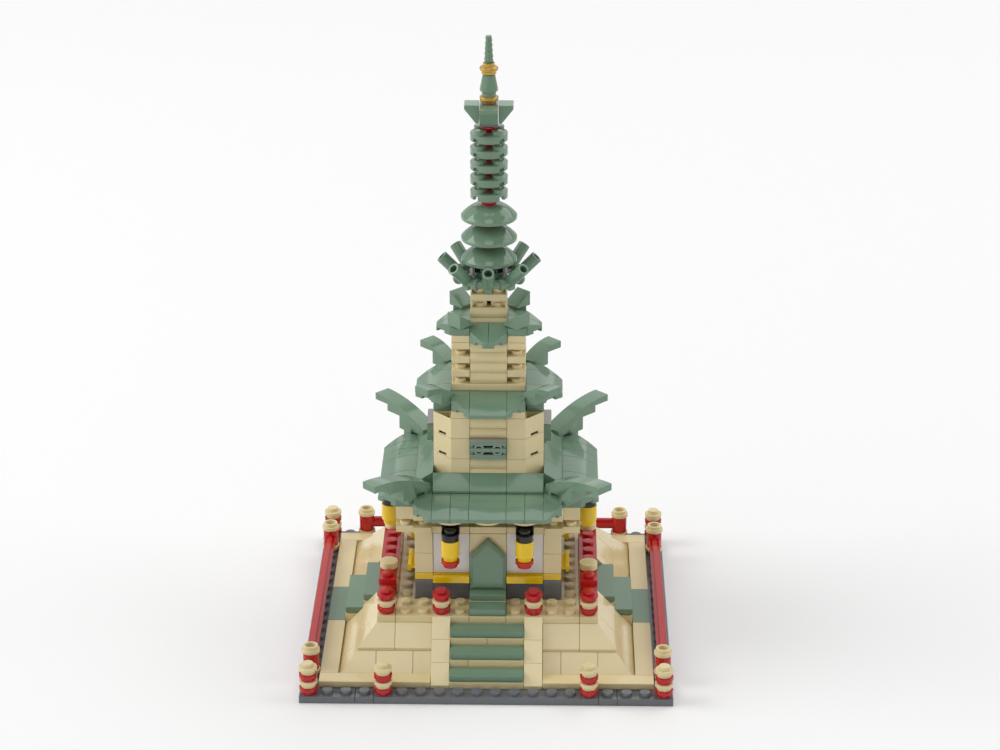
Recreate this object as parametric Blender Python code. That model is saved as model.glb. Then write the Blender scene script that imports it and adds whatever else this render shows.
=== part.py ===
"""Brick-built toy pagoda: a stepped terrace, three roofed storeys and a ringed spire."""
import math

import bmesh
import bpy
from mathutils import Matrix, Vector

# Driving dimensions, in metres: everything below is counted in studs and plates
STUD = 0.008
PLATE = 0.0032
GAP = 0.0003

# Plan sizes, in studs from the centre
BASE_HALF = 10
BORDER_HALF = 9
LOWER_HALF = 8
UPPER_HALF = 7
PLATFORM_HALF = 6
GROUND_HALF = 4
SECOND_HALF = 3
THIRD_HALF = 2
TOWER_HALF = 1
STAIR_HALF = 2
CHEEK_OUTER = 3

# Heights of the main levels, in plates above the underside
BASE_TOP = 1
BORDER_TOP = 2
LOWER_TOP = 4
UPPER_TOP = 7
PLATFORM_TOP = 8
FOUNDATION_TOP = 11
BAND_TOP = 12
WALL_TOP = 18
BEAM_TOP = 22
ROOF_1_TOP = 24
SECOND_BASE = 25
SECOND_CORNER_TOP = 34
SECOND_TOP = 35
ROOF_2_TOP = 37
THIRD_BASE_TOP = 38
THIRD_ARM_TOP = 44
THIRD_TOP = 45
ROOF_3_TOP = 46
TOWER_TOP = 50
DISH_RIMS = (54, 57, 60)
DISH_TOP = 62
RING_BASES = (63, 65, 67, 69, 71)
RING_TOP = 73
CAP_TOP = 76

# Round and thin parts, in metres
ROUND_RADIUS = 0.004
STUD_RADIUS = 0.0024
STUD_HEIGHT = 0.0017
SLOPE_LIP = 0.0013
DISH_RADIUS = 0.012
RING_RADIUS = 0.008
BAR_RADIUS = 0.0016
LEDGE_DEPTH = 0.0025
WINDOW_DEPTH = 0.003
TIP_HEIGHT = 0.2723
POST_SIDES = 12
TURNED_SIDES = 24

TAN = (0.73, 0.62, 0.40, 1.0)
GREEN = (0.18, 0.27, 0.19, 1.0)
RED = (0.45, 0.01, 0.01, 1.0)
YELLOW = (0.80, 0.50, 0.02, 1.0)
DARK_GREY = (0.11, 0.12, 0.14, 1.0)
GOLD = (0.65, 0.38, 0.08, 1.0)


def clear_scene():
    for item in list(bpy.data.objects):
        bpy.data.objects.remove(item, do_unlink=True)


def plastic(name, colour):
    material = bpy.data.materials.new(name)
    material.use_nodes = True
    shader = material.node_tree.nodes["Principled BSDF"]
    shader.inputs["Base Color"].default_value = colour
    shader.inputs["Roughness"].default_value = 0.3
    shader.inputs["Metallic"].default_value = 0.0
    return material


def at(x, y, z):
    """A point from studs, studs and plates."""
    return Vector((x * STUD, y * STUD, z * PLATE))


def add_object(name, mesh_data):
    mesh = bpy.data.meshes.new(name)
    bmesh.ops.recalc_face_normals(mesh_data, faces=mesh_data.faces)
    mesh_data.to_mesh(mesh)
    mesh_data.free()
    item = bpy.data.objects.new(name, mesh)
    bpy.context.scene.collection.objects.link(item)
    return item


def extrude_outline(name, outline, along):
    """A closed prism: the outline's points, pushed along a vector."""
    shape = bmesh.new()
    corners = [shape.verts.new(point) for point in outline]
    face = shape.faces.new(corners)
    moved = bmesh.ops.extrude_face_region(shape, geom=[face])
    top = [part for part in moved["geom"] if isinstance(part, bmesh.types.BMVert)]
    bmesh.ops.translate(shape, vec=along, verts=top)
    return add_object(name, shape)


def block(name, x_range, y_range, z_range):
    """A box from ranges in studs, studs and plates."""
    low = at(x_range[0], y_range[0], z_range[0])
    high = at(x_range[1], y_range[1], z_range[1])
    outline = (
        low,
        Vector((high.x, low.y, low.z)),
        Vector((high.x, high.y, low.z)),
        Vector((low.x, high.y, low.z)),
    )
    return extrude_outline(name, outline, Vector((0, 0, high.z - low.z)))


def turned(name, profile, centre, sides=POST_SIDES):
    """A solid turned about a vertical axis: radius and height pairs, bottom to top."""
    shape = bmesh.new()
    rings = []
    for radius, height in profile:
        matrix = Matrix.Translation((centre[0], centre[1], height))
        made = bmesh.ops.create_circle(shape, segments=sides, radius=radius, matrix=matrix)
        rings.append(made["verts"])
    for lower, upper in zip(rings, rings[1:]):
        for index in range(sides):
            after = (index + 1) % sides
            shape.faces.new((lower[index], lower[after], upper[after], upper[index]))
    shape.faces.new(rings[0])
    shape.faces.new(rings[-1])
    return add_object(name, shape)


def boolean(target, other, operation):
    modifier = target.modifiers.new("cut", "BOOLEAN")
    modifier.operation = operation
    modifier.solver = "EXACT"
    modifier.object = other
    bpy.context.view_layer.objects.active = target
    bpy.ops.object.modifier_apply(modifier=modifier.name)
    bpy.data.objects.remove(other, do_unlink=True)


def tidy_mesh(item):
    shape = bmesh.new()
    shape.from_mesh(item.data)
    bmesh.ops.remove_doubles(shape, verts=shape.verts, dist=0.000002)
    bmesh.ops.dissolve_limit(shape, angle_limit=0.001, verts=shape.verts, edges=shape.edges)
    shape.to_mesh(item.data)
    shape.free()


def fuse(name, parts, cutters=()):
    """One body from overlapping parts, less the cutters."""
    body = parts[0]
    for part in parts[1:]:
        boolean(body, part, "UNION")
    for cutter in cutters:
        boolean(body, cutter, "DIFFERENCE")
    tidy_mesh(body)
    body.name = name
    body.data.name = name
    return body


def paint(items, colour_name):
    colours = {"tan": TAN, "green": GREEN, "red": RED, "yellow": YELLOW,
               "dark_grey": DARK_GREY, "gold": GOLD}
    for item in items:
        material = plastic(item.name + "_" + colour_name, colours[colour_name])
        item.data.materials.clear()
        item.data.materials.append(material)


def quarter_turn(count):
    """An exact turn by a number of right angles, so that flush faces stay flush."""
    cosine, sine = ((1, 0), (0, 1), (-1, 0), (0, -1))[count % 4]
    return Matrix(((cosine, -sine, 0, 0), (sine, cosine, 0, 0), (0, 0, 1, 0), (0, 0, 0, 1)))


def turn_about_centre(item, quarters, degrees=0):
    item.data.transform(quarter_turn(quarters) @ Matrix.Rotation(math.radians(degrees), 4, "Z"))


def quarter_copies(maker):
    """Four copies of a front-facing part, one for each side."""
    copies = []
    for quarter in range(4):
        item = maker("quarter_" + str(quarter))
        turn_about_centre(item, quarter)
        copies.append(item)
    return copies


def clip_corner(item, point, direction):
    """Cut away what lies past a vertical plane and close the cut."""
    shape = bmesh.new()
    shape.from_mesh(item.data)
    geometry = shape.verts[:] + shape.edges[:] + shape.faces[:]
    bmesh.ops.bisect_plane(shape, geom=geometry, plane_co=point, plane_no=direction,
                           clear_outer=True)
    open_edges = [edge for edge in shape.edges if edge.is_boundary]
    bmesh.ops.edgeloop_fill(shape, edges=open_edges)
    bmesh.ops.recalc_face_normals(shape, faces=shape.faces)
    shape.to_mesh(item.data)
    shape.free()


def terrace_notches():
    """The room that the four stairs take out of the terrace."""
    side = STAIR_HALF + GAP / STUD
    front = CHEEK_OUTER + GAP / STUD
    inner = PLATFORM_HALF
    outer = BASE_HALF
    heights = (0, PLATFORM_TOP)
    return [
        block("notch_front", (-front, front), (-outer, -inner), heights),
        block("notch_back", (-side, side), (inner, outer), heights),
        block("notch_left", (-outer, -inner), (-side, side), heights),
        block("notch_right", (inner, outer), (-side, side), heights),
    ]


def sloped_course(name, half, bottom, top):
    """One course of 45 degree slopes around the terrace, filled inside."""
    low = bottom * PLATE + GAP
    lip = bottom * PLATE + SLOPE_LIP
    reach = half * STUD
    shape = bmesh.new()
    rings = []
    for size, height in ((reach, low), (reach, lip), (reach - STUD, top * PLATE)):
        corners = ((-size, -size), (size, -size), (size, size), (-size, size))
        rings.append([shape.verts.new((x, y, height)) for x, y in corners])
    for lower, upper in zip(rings, rings[1:]):
        for index in range(4):
            after = (index + 1) % 4
            shape.faces.new((lower[index], lower[after], upper[after], upper[index]))
    shape.faces.new(rings[0])
    shape.faces.new(rings[-1])
    return add_object(name, shape)


def build_base():
    base = block("base_plate", (-BASE_HALF, BASE_HALF), (-BASE_HALF, BASE_HALF), (0, BASE_TOP))
    paint([base], "dark_grey")


def build_terrace():
    seat = GAP / PLATE
    border = block("border", (-BORDER_HALF, BORDER_HALF), (-BORDER_HALF, BORDER_HALF),
                   (BASE_TOP + seat, BORDER_TOP))
    slopes = sloped_course("slopes", LOWER_HALF, BASE_TOP, LOWER_TOP)
    lower = fuse("terrace_lower_course", [border, slopes], terrace_notches())
    upper = fuse("terrace_upper_course",
                 [sloped_course("slopes", UPPER_HALF, LOWER_TOP, UPPER_TOP)], terrace_notches())
    platform = block("platform_plate", (-PLATFORM_HALF, PLATFORM_HALF),
                     (-PLATFORM_HALF, PLATFORM_HALF), (UPPER_TOP + seat, PLATFORM_TOP))
    paint([lower, upper, platform], "tan")


def flight(name, first_top, quarter):
    """A front-facing flight of three steps, each two plates up, then turned to its side."""
    half = STAIR_HALF * STUD - GAP / 2
    back = -PLATFORM_HALF * STUD - GAP
    low = BASE_TOP * PLATE + GAP
    outline = [Vector((-half, back, low)), Vector((-half, -BORDER_HALF * STUD, low))]
    for step in range(3):
        height = (first_top + 2 * step) * PLATE
        front = (-BORDER_HALF + step) * STUD
        rear = back if step == 2 else front + STUD
        outline.append(Vector((-half, front, height)))
        outline.append(Vector((-half, rear, height)))
    item = extrude_outline(name, outline, Vector((2 * half, 0, 0)))
    turn_about_centre(item, quarter)
    return item


def cheek(name, side):
    """The sloping wall beside the front flight."""
    back = -PLATFORM_HALF * STUD - GAP
    front = -BORDER_HALF * STUD
    low = BASE_TOP * PLATE + GAP
    inner = side * (STAIR_HALF * STUD + GAP / 2)
    width = side * (STUD - GAP)
    outline = (
        Vector((inner, front, low)),
        Vector((inner, back, low)),
        Vector((inner, back, PLATFORM_TOP * PLATE)),
        Vector((inner, front, low + 0.0015)),
    )
    return extrude_outline(name, outline, Vector((width, 0, 0)))


def build_stairs():
    flights = [
        flight("front_stair", 3, 0),
        flight("right_stair", 2, 1),
        flight("back_stair", 2, 2),
        flight("left_stair", 2, 3),
    ]
    paint(flights, "green")
    paint([cheek("front_cheek_left", -1), cheek("front_cheek_right", 1)], "tan")


def post(name, x, y, bottom, top):
    """A post of stacked round plates with a stud on top."""
    low = bottom * PLATE + GAP
    high = top * PLATE
    profile = ((ROUND_RADIUS, low), (ROUND_RADIUS, high), (STUD_RADIUS, high),
               (STUD_RADIUS, high + STUD_HEIGHT))
    return turned(name, profile, (x * STUD, y * STUD))


def rail_fence(name, quarter):
    """Two posts and the cross-section bar between them, made at the back and turned."""
    row = 9.5
    post_x = 7.5
    bar_height = 0.0108
    arm = 0.0024
    web = 0.0009
    cross = ((-arm, -web), (-web, -web), (-web, -arm), (web, -arm), (web, -web), (arm, -web),
             (arm, web), (web, web), (web, arm), (-web, arm), (-web, web), (-arm, web))
    start = -(post_x + 0.5) * STUD + 0.0005
    outline = [Vector((start, row * STUD + a, bar_height + b)) for a, b in cross]
    bar = extrude_outline("bar", outline, Vector((-2 * start, 0, 0)))
    posts = [post("rail_post", side * post_x, row, BASE_TOP, 5) for side in (-1, 1)]
    item = fuse(name, [posts[0], bar, posts[1]])
    turn_about_centre(item, quarter)
    return item


def build_fence():
    fences = [rail_fence("fence_back", 0), rail_fence("fence_left", 1),
              rail_fence("fence_right", 3)]
    corner = 9.5
    inner = 5.5
    places = {"post_front_left": (-corner, -corner), "post_front_right": (corner, -corner),
              "post_stair_left": (-inner, -corner), "post_stair_right": (inner, -corner),
              "post_back_left": (-corner, corner), "post_back_right": (corner, corner)}
    posts = [post(name, x, y, BASE_TOP, 5) for name, (x, y) in places.items()]
    paint(fences + posts, "red")


def build_platform_posts():
    row = -5.5
    places = {"platform_post_left": -5.5, "platform_post_inner_left": -2.5,
              "platform_post_inner_right": 2.5, "platform_post_right": 5.5}
    paint([post(name, x, row, PLATFORM_TOP, 11) for name, x in places.items()], "red")


def handrail(name, side):
    """A long plate on two short posts, with two round tiles on it."""
    x = side * 5.5
    half_length = 4
    rail_bottom = 10
    rail_top = 11
    rail = block("rail", (x - 0.49, x + 0.49), (-half_length, half_length),
                 (rail_bottom, rail_top))
    parts = [rail]
    for y in (-3.5, 3.5):
        low = PLATFORM_TOP * PLATE + GAP
        high = (rail_bottom + 0.5) * PLATE
        parts.append(turned("foot", ((0.0036, low), (0.0036, high)), (x * STUD, y * STUD)))
    for y in (-2.5, 2.5):
        low = (rail_top - 0.5) * PLATE
        high = (rail_top + 1) * PLATE
        parts.append(turned("cap", ((0.0038, low), (0.0038, high)), (x * STUD, y * STUD)))
    return fuse(name, parts)


def build_ground_storey():
    seat = GAP / PLATE
    half = GROUND_HALF
    joint = GAP / STUD
    foundation = block("foundation_course", (-half, half), (-half, half),
                       (PLATFORM_TOP + seat, FOUNDATION_TOP))
    paint([foundation], "dark_grey")

    depth = half + LEDGE_DEPTH / STUD
    front = ((-half, -half), (-3, -half), (-3, -depth), (-1, -depth), (-1, -half),
             (1, -half), (1, -depth), (3, -depth), (3, -half))
    low = FOUNDATION_TOP + seat
    outline = []
    for quarter in range(4):
        outline += [quarter_turn(quarter) @ at(x, y, low) for x, y in front]
    band = extrude_outline("ledge_band", outline, Vector((0, 0, (BAND_TOP - low) * PLATE)))
    paint([band], "yellow")

    wall_range = (BAND_TOP + seat, WALL_TOP)
    inner = half - 1
    walls = [
        block("wall_front", (-half, half), (-half, -inner), wall_range),
        block("wall_back", (-half, half), (inner, half), wall_range),
        block("wall_left", (-half, -inner), (-inner + joint, inner - joint), wall_range),
        block("wall_right", (inner, half), (-inner + joint, inner - joint), wall_range),
    ]
    paint(walls, "tan")

    parts = [block("beam", (-half, half), (-half, half), (WALL_TOP + seat, BEAM_TOP))]
    for low in (-half, inner):
        for lug in ((WALL_TOP + seat, WALL_TOP + 1), (BEAM_TOP - 1, BEAM_TOP)):
            parts.append(block("lug", (-half - 1, half + 1), (low, low + 1), lug))
    paint([fuse("eave_beam", parts)], "tan")


def build_door():
    """The pointed door panel on the front wall and the two steps under it."""
    front = -GROUND_HALF * STUD
    thick = PLATE
    half = STUD - GAP
    shoulder = 15
    peak = 17.5
    low = 10 * PLATE + GAP
    face = front - GAP - thick
    outline = (
        Vector((-half, face, low)),
        Vector((half, face, low)),
        Vector((half, face, shoulder * PLATE)),
        Vector((0, face, peak * PLATE)),
        Vector((-half, face, shoulder * PLATE)),
    )
    door = extrude_outline("door_panel", outline, Vector((0, thick, 0)))
    seat = PLATFORM_TOP + GAP / PLATE
    joint = GAP / STUD
    lower = block("lower", (-1, 1), (-6, -GROUND_HALF - joint), (seat, 9))
    upper = block("upper", (-1, 1), (-5, -GROUND_HALF - joint), (seat, 10))
    steps = fuse("door_steps", [lower, upper])
    paint([door, steps], "green")


def lantern(name, x, y, bottom, disc):
    """A hanging lantern: a round brick under a dark cap, with a disc over the front ones."""
    centre = (x * STUD, y * STUD)
    neck = 0.003
    top = BEAM_TOP - 1 if disc else BEAM_TOP
    high = top * PLATE - GAP
    profile = [(neck, 16 * PLATE), (neck, 16.4 * PLATE), (ROUND_RADIUS, 16.9 * PLATE),
               (ROUND_RADIUS, high)]
    if bottom < 16:
        profile = [(neck, bottom * PLATE), (ROUND_RADIUS, 15.35 * PLATE),
                   (ROUND_RADIUS, 15.9 * PLATE)] + profile
    parts = [turned(name, profile, centre, TURNED_SIDES)]
    if disc:
        low = top * PLATE - 2 * GAP
        high = BEAM_TOP * PLATE - GAP
        reach = STUD - GAP
        disc_profile = ((reach - 0.001, low), (reach, low + 0.001), (reach, high))
        parts.append(turned("disc", disc_profile, (x * STUD, -5 * STUD - GAP), TURNED_SIDES))
    return fuse(name, parts)


def build_lanterns():
    lanterns = [
        lantern("lantern_front_left", -2, -5.3, 15, True),
        lantern("lantern_front_right", 2, -5.3, 15, True),
        lantern("lantern_side_front_left", -5.4, -1, 16, False),
        lantern("lantern_side_front_right", 5.4, -1, 16, False),
        lantern("lantern_side_back_left", -5.4, 1, 16, False),
        lantern("lantern_side_back_right", 5.4, 1, 16, False),
    ]
    paint(lanterns, "yellow")


def curved_wing(name, half_width, inner, bottom, top, clip):
    """A front eave of curved slopes, two studs deep, with its outer corners clipped."""
    depth = 2
    steps = 6
    fall = top - bottom - 0.5
    lap = 0.25
    outline = [at(-half_width, -inner + lap, bottom), at(-half_width, -inner + lap, top)]
    for step in range(steps + 1):
        share = step / steps
        outline.append(at(-half_width, -inner - depth * share, top - fall * share ** 2))
    outline.append(at(-half_width, -inner - depth, bottom))
    item = extrude_outline(name, outline, Vector((2 * half_width * STUD, 0, 0)))
    side_y, front_x = clip
    for side in (-1, 1):
        corner = at(side * half_width, side_y, 0)
        edge = at(side * front_x, -inner - depth, 0) - corner
        clip_corner(item, corner, Vector((-edge.y, edge.x, 0)) * side)
    return item


def fin_outline(inner, length, end_height, tip_height, undersides):
    """A fin's side view: a curve rising outwards over a stepped underside."""
    steps = 10
    points = []
    for step in range(steps + 1):
        share = step / steps
        height = tip_height - (tip_height - end_height) * (1 - share) ** 2
        points.append((inner + length * share, height * PLATE))
    for start, height in undersides:
        points.append((points[-1][0], height * PLATE))
        points.append((inner + start, height * PLATE))
    return points


def fin(name, quarter, inner, length, end_height, tip_height, undersides):
    """A roof fin along a diagonal, one stud wide."""
    half = STUD / 2
    points = fin_outline(inner, length, end_height, tip_height, undersides)
    outline = [Vector((-half, -distance, height)) for distance, height in points]
    item = extrude_outline(name, outline, Vector((STUD, 0, 0)))
    turn_about_centre(item, quarter, 45)
    return item


def build_roof_1():
    seat = GAP / PLATE
    half = GROUND_HALF
    slab = block("slab", (-half, half), (-half, half), (BEAM_TOP + seat, ROOF_1_TOP))
    wings = quarter_copies(
        lambda name: curved_wing(name, half, half, BEAM_TOP + seat, ROOF_1_TOP, (-5, 3.2)))
    upper_half = SECOND_HALF
    upper = block("upper", (-upper_half, upper_half), (-upper_half, upper_half),
                  (ROOF_1_TOP - 0.5, SECOND_BASE))

    def upper_slope(name):
        lip = ROOF_1_TOP + SLOPE_LIP / PLATE
        width = upper_half - 0.02
        outline = [at(-width, -4, ROOF_1_TOP - 0.5), at(-width, -4, lip),
                   at(-width, -3, ROOF_1_TOP + 2), at(-width, -3, ROOF_1_TOP - 0.5)]
        return extrude_outline(name, outline, Vector((2 * width * STUD, 0, 0)))

    slopes = quarter_copies(upper_slope)
    disc = turned("disc", ((STUD - 0.0013, 21 * PLATE), (STUD - GAP, 21 * PLATE + 0.001),
                           (STUD - GAP, (BEAM_TOP + 0.5) * PLATE)),
                  (0, -5 * STUD - GAP), TURNED_SIDES)
    roof = fuse("roof_1", [slab] + wings + [upper] + slopes + [disc])
    corners = ("front_left", "front_right", "back_right", "back_left")
    inner = 0.03898
    undersides = ((0.024, 27), (0.016, 26), (0.008, ROOF_1_TOP + seat), (0.008, 25),
                  (0.0035, 25), (0.0035, ROOF_1_TOP + seat), (0, ROOF_1_TOP + seat))
    fins = []
    for quarter, corner in enumerate(corners):
        fins.append(fin("roof_1_fin_" + corner, quarter - 1, inner, 4 * STUD, 25.3, 28,
                        undersides))
    paint([roof] + fins, "green")


def build_storey_2():
    half = SECOND_HALF * STUD - GAP
    flat = 2 * STUD - GAP
    low = SECOND_BASE * PLATE + GAP
    outline = [Vector((x, y, low)) for x, y in (
        (-flat, -half), (flat, -half), (half, -flat), (half, flat),
        (flat, half), (-flat, half), (-half, flat), (-half, -flat))]
    body = extrude_outline("body", outline,
                           Vector((0, 0, SECOND_CORNER_TOP * PLATE - low)))
    top_plate = block("top_plate", (-2, 2), (-SECOND_HALF, SECOND_HALF),
                      (SECOND_CORNER_TOP - 0.5, SECOND_TOP))
    reach = SECOND_HALF + WINDOW_DEPTH / STUD
    across = block("windows", (-1, 1), (-reach, reach), (28, 31))
    along = block("windows", (-reach, reach), (-1, 1), (28, 31))
    paint([fuse("storey_2", [body, top_plate, across, along])], "tan")


def build_roof_2():
    seat = GAP / PLATE
    half = THIRD_HALF
    low = SECOND_TOP + seat
    slab = block("slab", (-half, half), (-half, half), (low, ROOF_2_TOP))
    wings = quarter_copies(
        lambda name: curved_wing(name, half, half, low, ROOF_2_TOP, (-2.8, 1)))
    joint = GAP / STUD
    blocks = []
    for side in (-1, 1):
        near = side * (half + joint)
        far = side * SECOND_HALF
        blocks.append(block("block", (min(near, far), max(near, far)), (-half, half),
                            (SECOND_CORNER_TOP + seat, SECOND_TOP + 1)))
    inner = 0.0243
    undersides = ((STUD, 38), (0, 36.8))
    fins = [fin("fin", quarter, inner, 2 * STUD, 37.2, 39, undersides) for quarter in range(4)]
    paint([fuse("roof_2", [slab] + wings + blocks + fins)], "green")


def build_storey_3():
    half = THIRD_HALF
    seat = GAP / PLATE
    parts = [block("plate", (-half, half), (-half, half), (ROOF_2_TOP + seat, THIRD_BASE_TOP)),
             block("arm", (-1, 1), (-half, half), (THIRD_BASE_TOP - 0.5, THIRD_ARM_TOP)),
             block("arm", (-half, half), (-1, 1), (THIRD_BASE_TOP - 0.5, THIRD_ARM_TOP))]
    lap = 0.9
    joint = GAP / STUD
    for x_side in (-1, 1):
        for y_side in (-1, 1):
            x_range = sorted((x_side * lap, x_side * half))
            y_range = sorted((y_side * lap, y_side * half))
            for low, high in ((39, 40), (41, 42), (43, THIRD_ARM_TOP)):
                parts.append(block("corner", x_range, y_range, (low, high)))
            x_top = sorted((x_side * (1 + joint), x_side * half))
            y_top = sorted((y_side * (1 + joint), y_side * half))
            parts.append(block("corner", x_top, y_top, (THIRD_ARM_TOP - 0.5, THIRD_TOP)))
    paint([fuse("storey_3", parts)], "tan")


def build_roof_3():
    seat = GAP / PLATE
    half = TOWER_HALF
    low = THIRD_ARM_TOP + seat
    slab = block("slab", (-half, half), (-half, half), (low, ROOF_3_TOP))
    wings = quarter_copies(
        lambda name: curved_wing(name, half, half, low, ROOF_3_TOP, (-2.1, 0.02)))
    plate_low = THIRD_TOP + seat
    plates = [block("plate", (-2, 2), (-2, 2), (plate_low, ROOF_3_TOP - 0.02))]

    def corner_slope(name):
        half_width = STUD / 2
        start = 0.0130
        end = start + STUD
        bottom = (ROOF_3_TOP - 0.5) * PLATE
        outline = (
            Vector((-half_width, -start, bottom)),
            Vector((-half_width, -start, (ROOF_3_TOP + 0.4) * PLATE)),
            Vector((-half_width, -end, (ROOF_3_TOP + 2) * PLATE)),
            Vector((-half_width, -end, bottom)),
        )
        item = extrude_outline(name, outline, Vector((STUD, 0, 0)))
        turn_about_centre(item, 0, 45)
        return item

    paint([fuse("roof_3", [slab] + wings + plates + quarter_copies(corner_slope))], "green")


def build_tower():
    seat = GAP / PLATE
    half = TOWER_HALF
    parts = [block("logs", (-half, half), (-half, half), (ROOF_3_TOP + seat, 48)),
             block("plate", (-half, half), (-half, half), (49, TOWER_TOP))]
    for x in (-0.5, 0.5):
        for y in (-0.5, 0.5):
            profile = ((STUD_RADIUS, 47.5 * PLATE), (STUD_RADIUS, 49.5 * PLATE))
            parts.append(turned("stud", profile, (x * STUD, y * STUD)))
    paint([fuse("top_tower", parts)], "tan")


def tube(name, start, end, radius, sides):
    """A straight round bar between two points."""
    shape = bmesh.new()
    direction = end - start
    turn = direction.to_track_quat("Z", "Y").to_matrix().to_4x4()
    middle = Matrix.Translation((start + end) / 2)
    bmesh.ops.create_cone(shape, cap_ends=True, segments=sides, radius1=radius, radius2=radius,
                          depth=direction.length, matrix=middle @ turn)
    return add_object(name, shape)


def build_crown():
    """The octagonal bar ring on its plate, with eight short tubes leaning out."""
    ring_reach = 0.0130
    ring_height = 0.1638
    tube_radius = STUD_RADIUS
    tube_end = Vector((0, -0.0204, 0.1735))
    tube_start = Vector((0, -ring_reach + 0.0002, ring_height + 0.0002))
    seat = GAP / PLATE
    corner = ring_reach / math.cos(math.pi / 8)
    plate = block("plate", (-1, 1), (-1, 1), (TOWER_TOP + seat, TOWER_TOP + 1.6))
    points = []
    for index in range(8):
        angle = math.radians(22.5 + 45 * index)
        points.append(Vector((corner * math.sin(angle), -corner * math.cos(angle), ring_height)))
    bars = []
    for index in range(8):
        here = points[index]
        there = points[(index + 1) % 8]
        step = (there - here).normalized() * 0.0008
        bars.append(tube("bar", here - step, there + step, BAR_RADIUS, 8))
    for index in range(8):
        turn = Matrix.Rotation(math.radians(45 * index), 4, "Z")
        bars.append(tube("holder", turn @ tube_start, turn @ tube_end, tube_radius, 10))
        if index % 2 == 0:
            inner = Vector((0, -0.006, ring_height))
            bars.append(tube("spoke", turn @ inner, turn @ tube_start, BAR_RADIUS * 0.9, 8))
    paint([fuse("crown_ring", [plate] + bars)], "green")


def build_dishes():
    """Three round dishes on one bar."""
    core = STUD_RADIUS
    profile = [(core, (TOWER_TOP + 1.6) * PLATE + GAP)]
    for rim in DISH_RIMS:
        low = rim * PLATE
        profile += [(core, low + 0.0030), (0.0105, low + 0.0004), (DISH_RADIUS - 0.0003, low),
                    (DISH_RADIUS, low + 0.0010), (0.0108, low + 0.0024),
                    (0.0085, low + 0.0043), (0.0056, low + 0.0058), (0.0040, low + 0.0064),
                    (core, low + 0.0065)]
    profile[-1] = (core, DISH_TOP * PLATE + 0.0002)
    paint([turned("dish_stack", profile, (0, 0), TURNED_SIDES)], "green")


def build_rings():
    """Five round plates held apart on a bar, over a small disc and under a flared one."""
    core = 0.0054
    bottom = DISH_TOP * PLATE + 0.0002 + GAP
    profile = [(0.0031, bottom), (0.0031, RING_BASES[0] * PLATE)]
    for base in RING_BASES:
        low = base * PLATE
        profile += [(RING_RADIUS, low), (RING_RADIUS, low + PLATE), (core, low + PLATE),
                    (core, low + 1.5 * PLATE), (core, low + 2 * PLATE)]
    del profile[-2:]
    top = RING_TOP * PLATE
    profile += [(BAR_RADIUS, 72.01 * PLATE), (BAR_RADIUS, 72.3 * PLATE),
                (ROUND_RADIUS - 0.0002, top - 0.0008), (ROUND_RADIUS - 0.0002, top - GAP)]
    paint([turned("ring_stack", profile, (0, 0), TURNED_SIDES)], "green")


def build_cap():
    """A small brick with an upside-down slope on each of its four sides."""
    half = STUD / 2
    high = CAP_TOP * PLATE
    wing_low = high - STUD
    core = block("core", (-0.5, 0.5), (-0.5, 0.5), (RING_TOP, CAP_TOP))

    def wing(name):
        outline = (
            Vector((-half + 0.0001, -half + 0.0005, wing_low)),
            Vector((-half + 0.0001, -half - 0.0015, wing_low)),
            Vector((-half + 0.0001, -half - 2 * PLATE, high - 0.0001)),
            Vector((-half + 0.0001, -half + 0.0005, high - 0.0001)),
        )
        return extrude_outline(name, outline, Vector((STUD - 0.0002, 0, 0)))

    paint([fuse("flared_cap", [core] + quarter_copies(wing))], "green")


def build_spire():
    """Gold collars, a cone and the pointed tip, turned about one axis."""
    base = CAP_TOP * PLATE + GAP
    collar_top = 77 * PLATE
    cone_top = 80 * PLATE
    upper_top = 81 * PLATE
    stud_top = upper_top + STUD_HEIGHT
    profile = (
        (0.0031, base), (0.0031, base + 0.0012), (0.0040, base + 0.0016),
        (0.0040, collar_top - 0.0004), (0.0031, collar_top), (0.0031, collar_top + 0.0016),
        (0.0039, collar_top + 0.0022), (0.0026, cone_top), (0.0031, cone_top + 0.0001),
        (0.0032, cone_top + 0.0014), (0.0040, cone_top + 0.0018), (0.0040, upper_top - 0.0004),
        (0.0036, upper_top), (STUD_RADIUS, upper_top + 0.0001), (STUD_RADIUS, stud_top),
        (0.0021, stud_top + 0.0002), (0.0014, TIP_HEIGHT - 0.0004), (0.0010, TIP_HEIGHT),
    )
    paint([turned("spire", profile, (0, 0), TURNED_SIDES)], "gold")


def main():
    clear_scene()
    build_base()
    build_terrace()
    build_stairs()
    build_fence()
    build_platform_posts()
    paint([handrail("handrail_left", -1), handrail("handrail_right", 1)], "red")
    build_ground_storey()
    build_door()
    build_lanterns()
    build_roof_1()
    build_storey_2()
    build_roof_2()
    build_storey_3()
    build_roof_3()
    build_tower()
    build_crown()
    build_dishes()
    build_rings()
    build_cap()
    build_spire()


main()
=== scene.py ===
import math
import random

import bmesh
import bpy
from mathutils import Matrix, Vector


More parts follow.
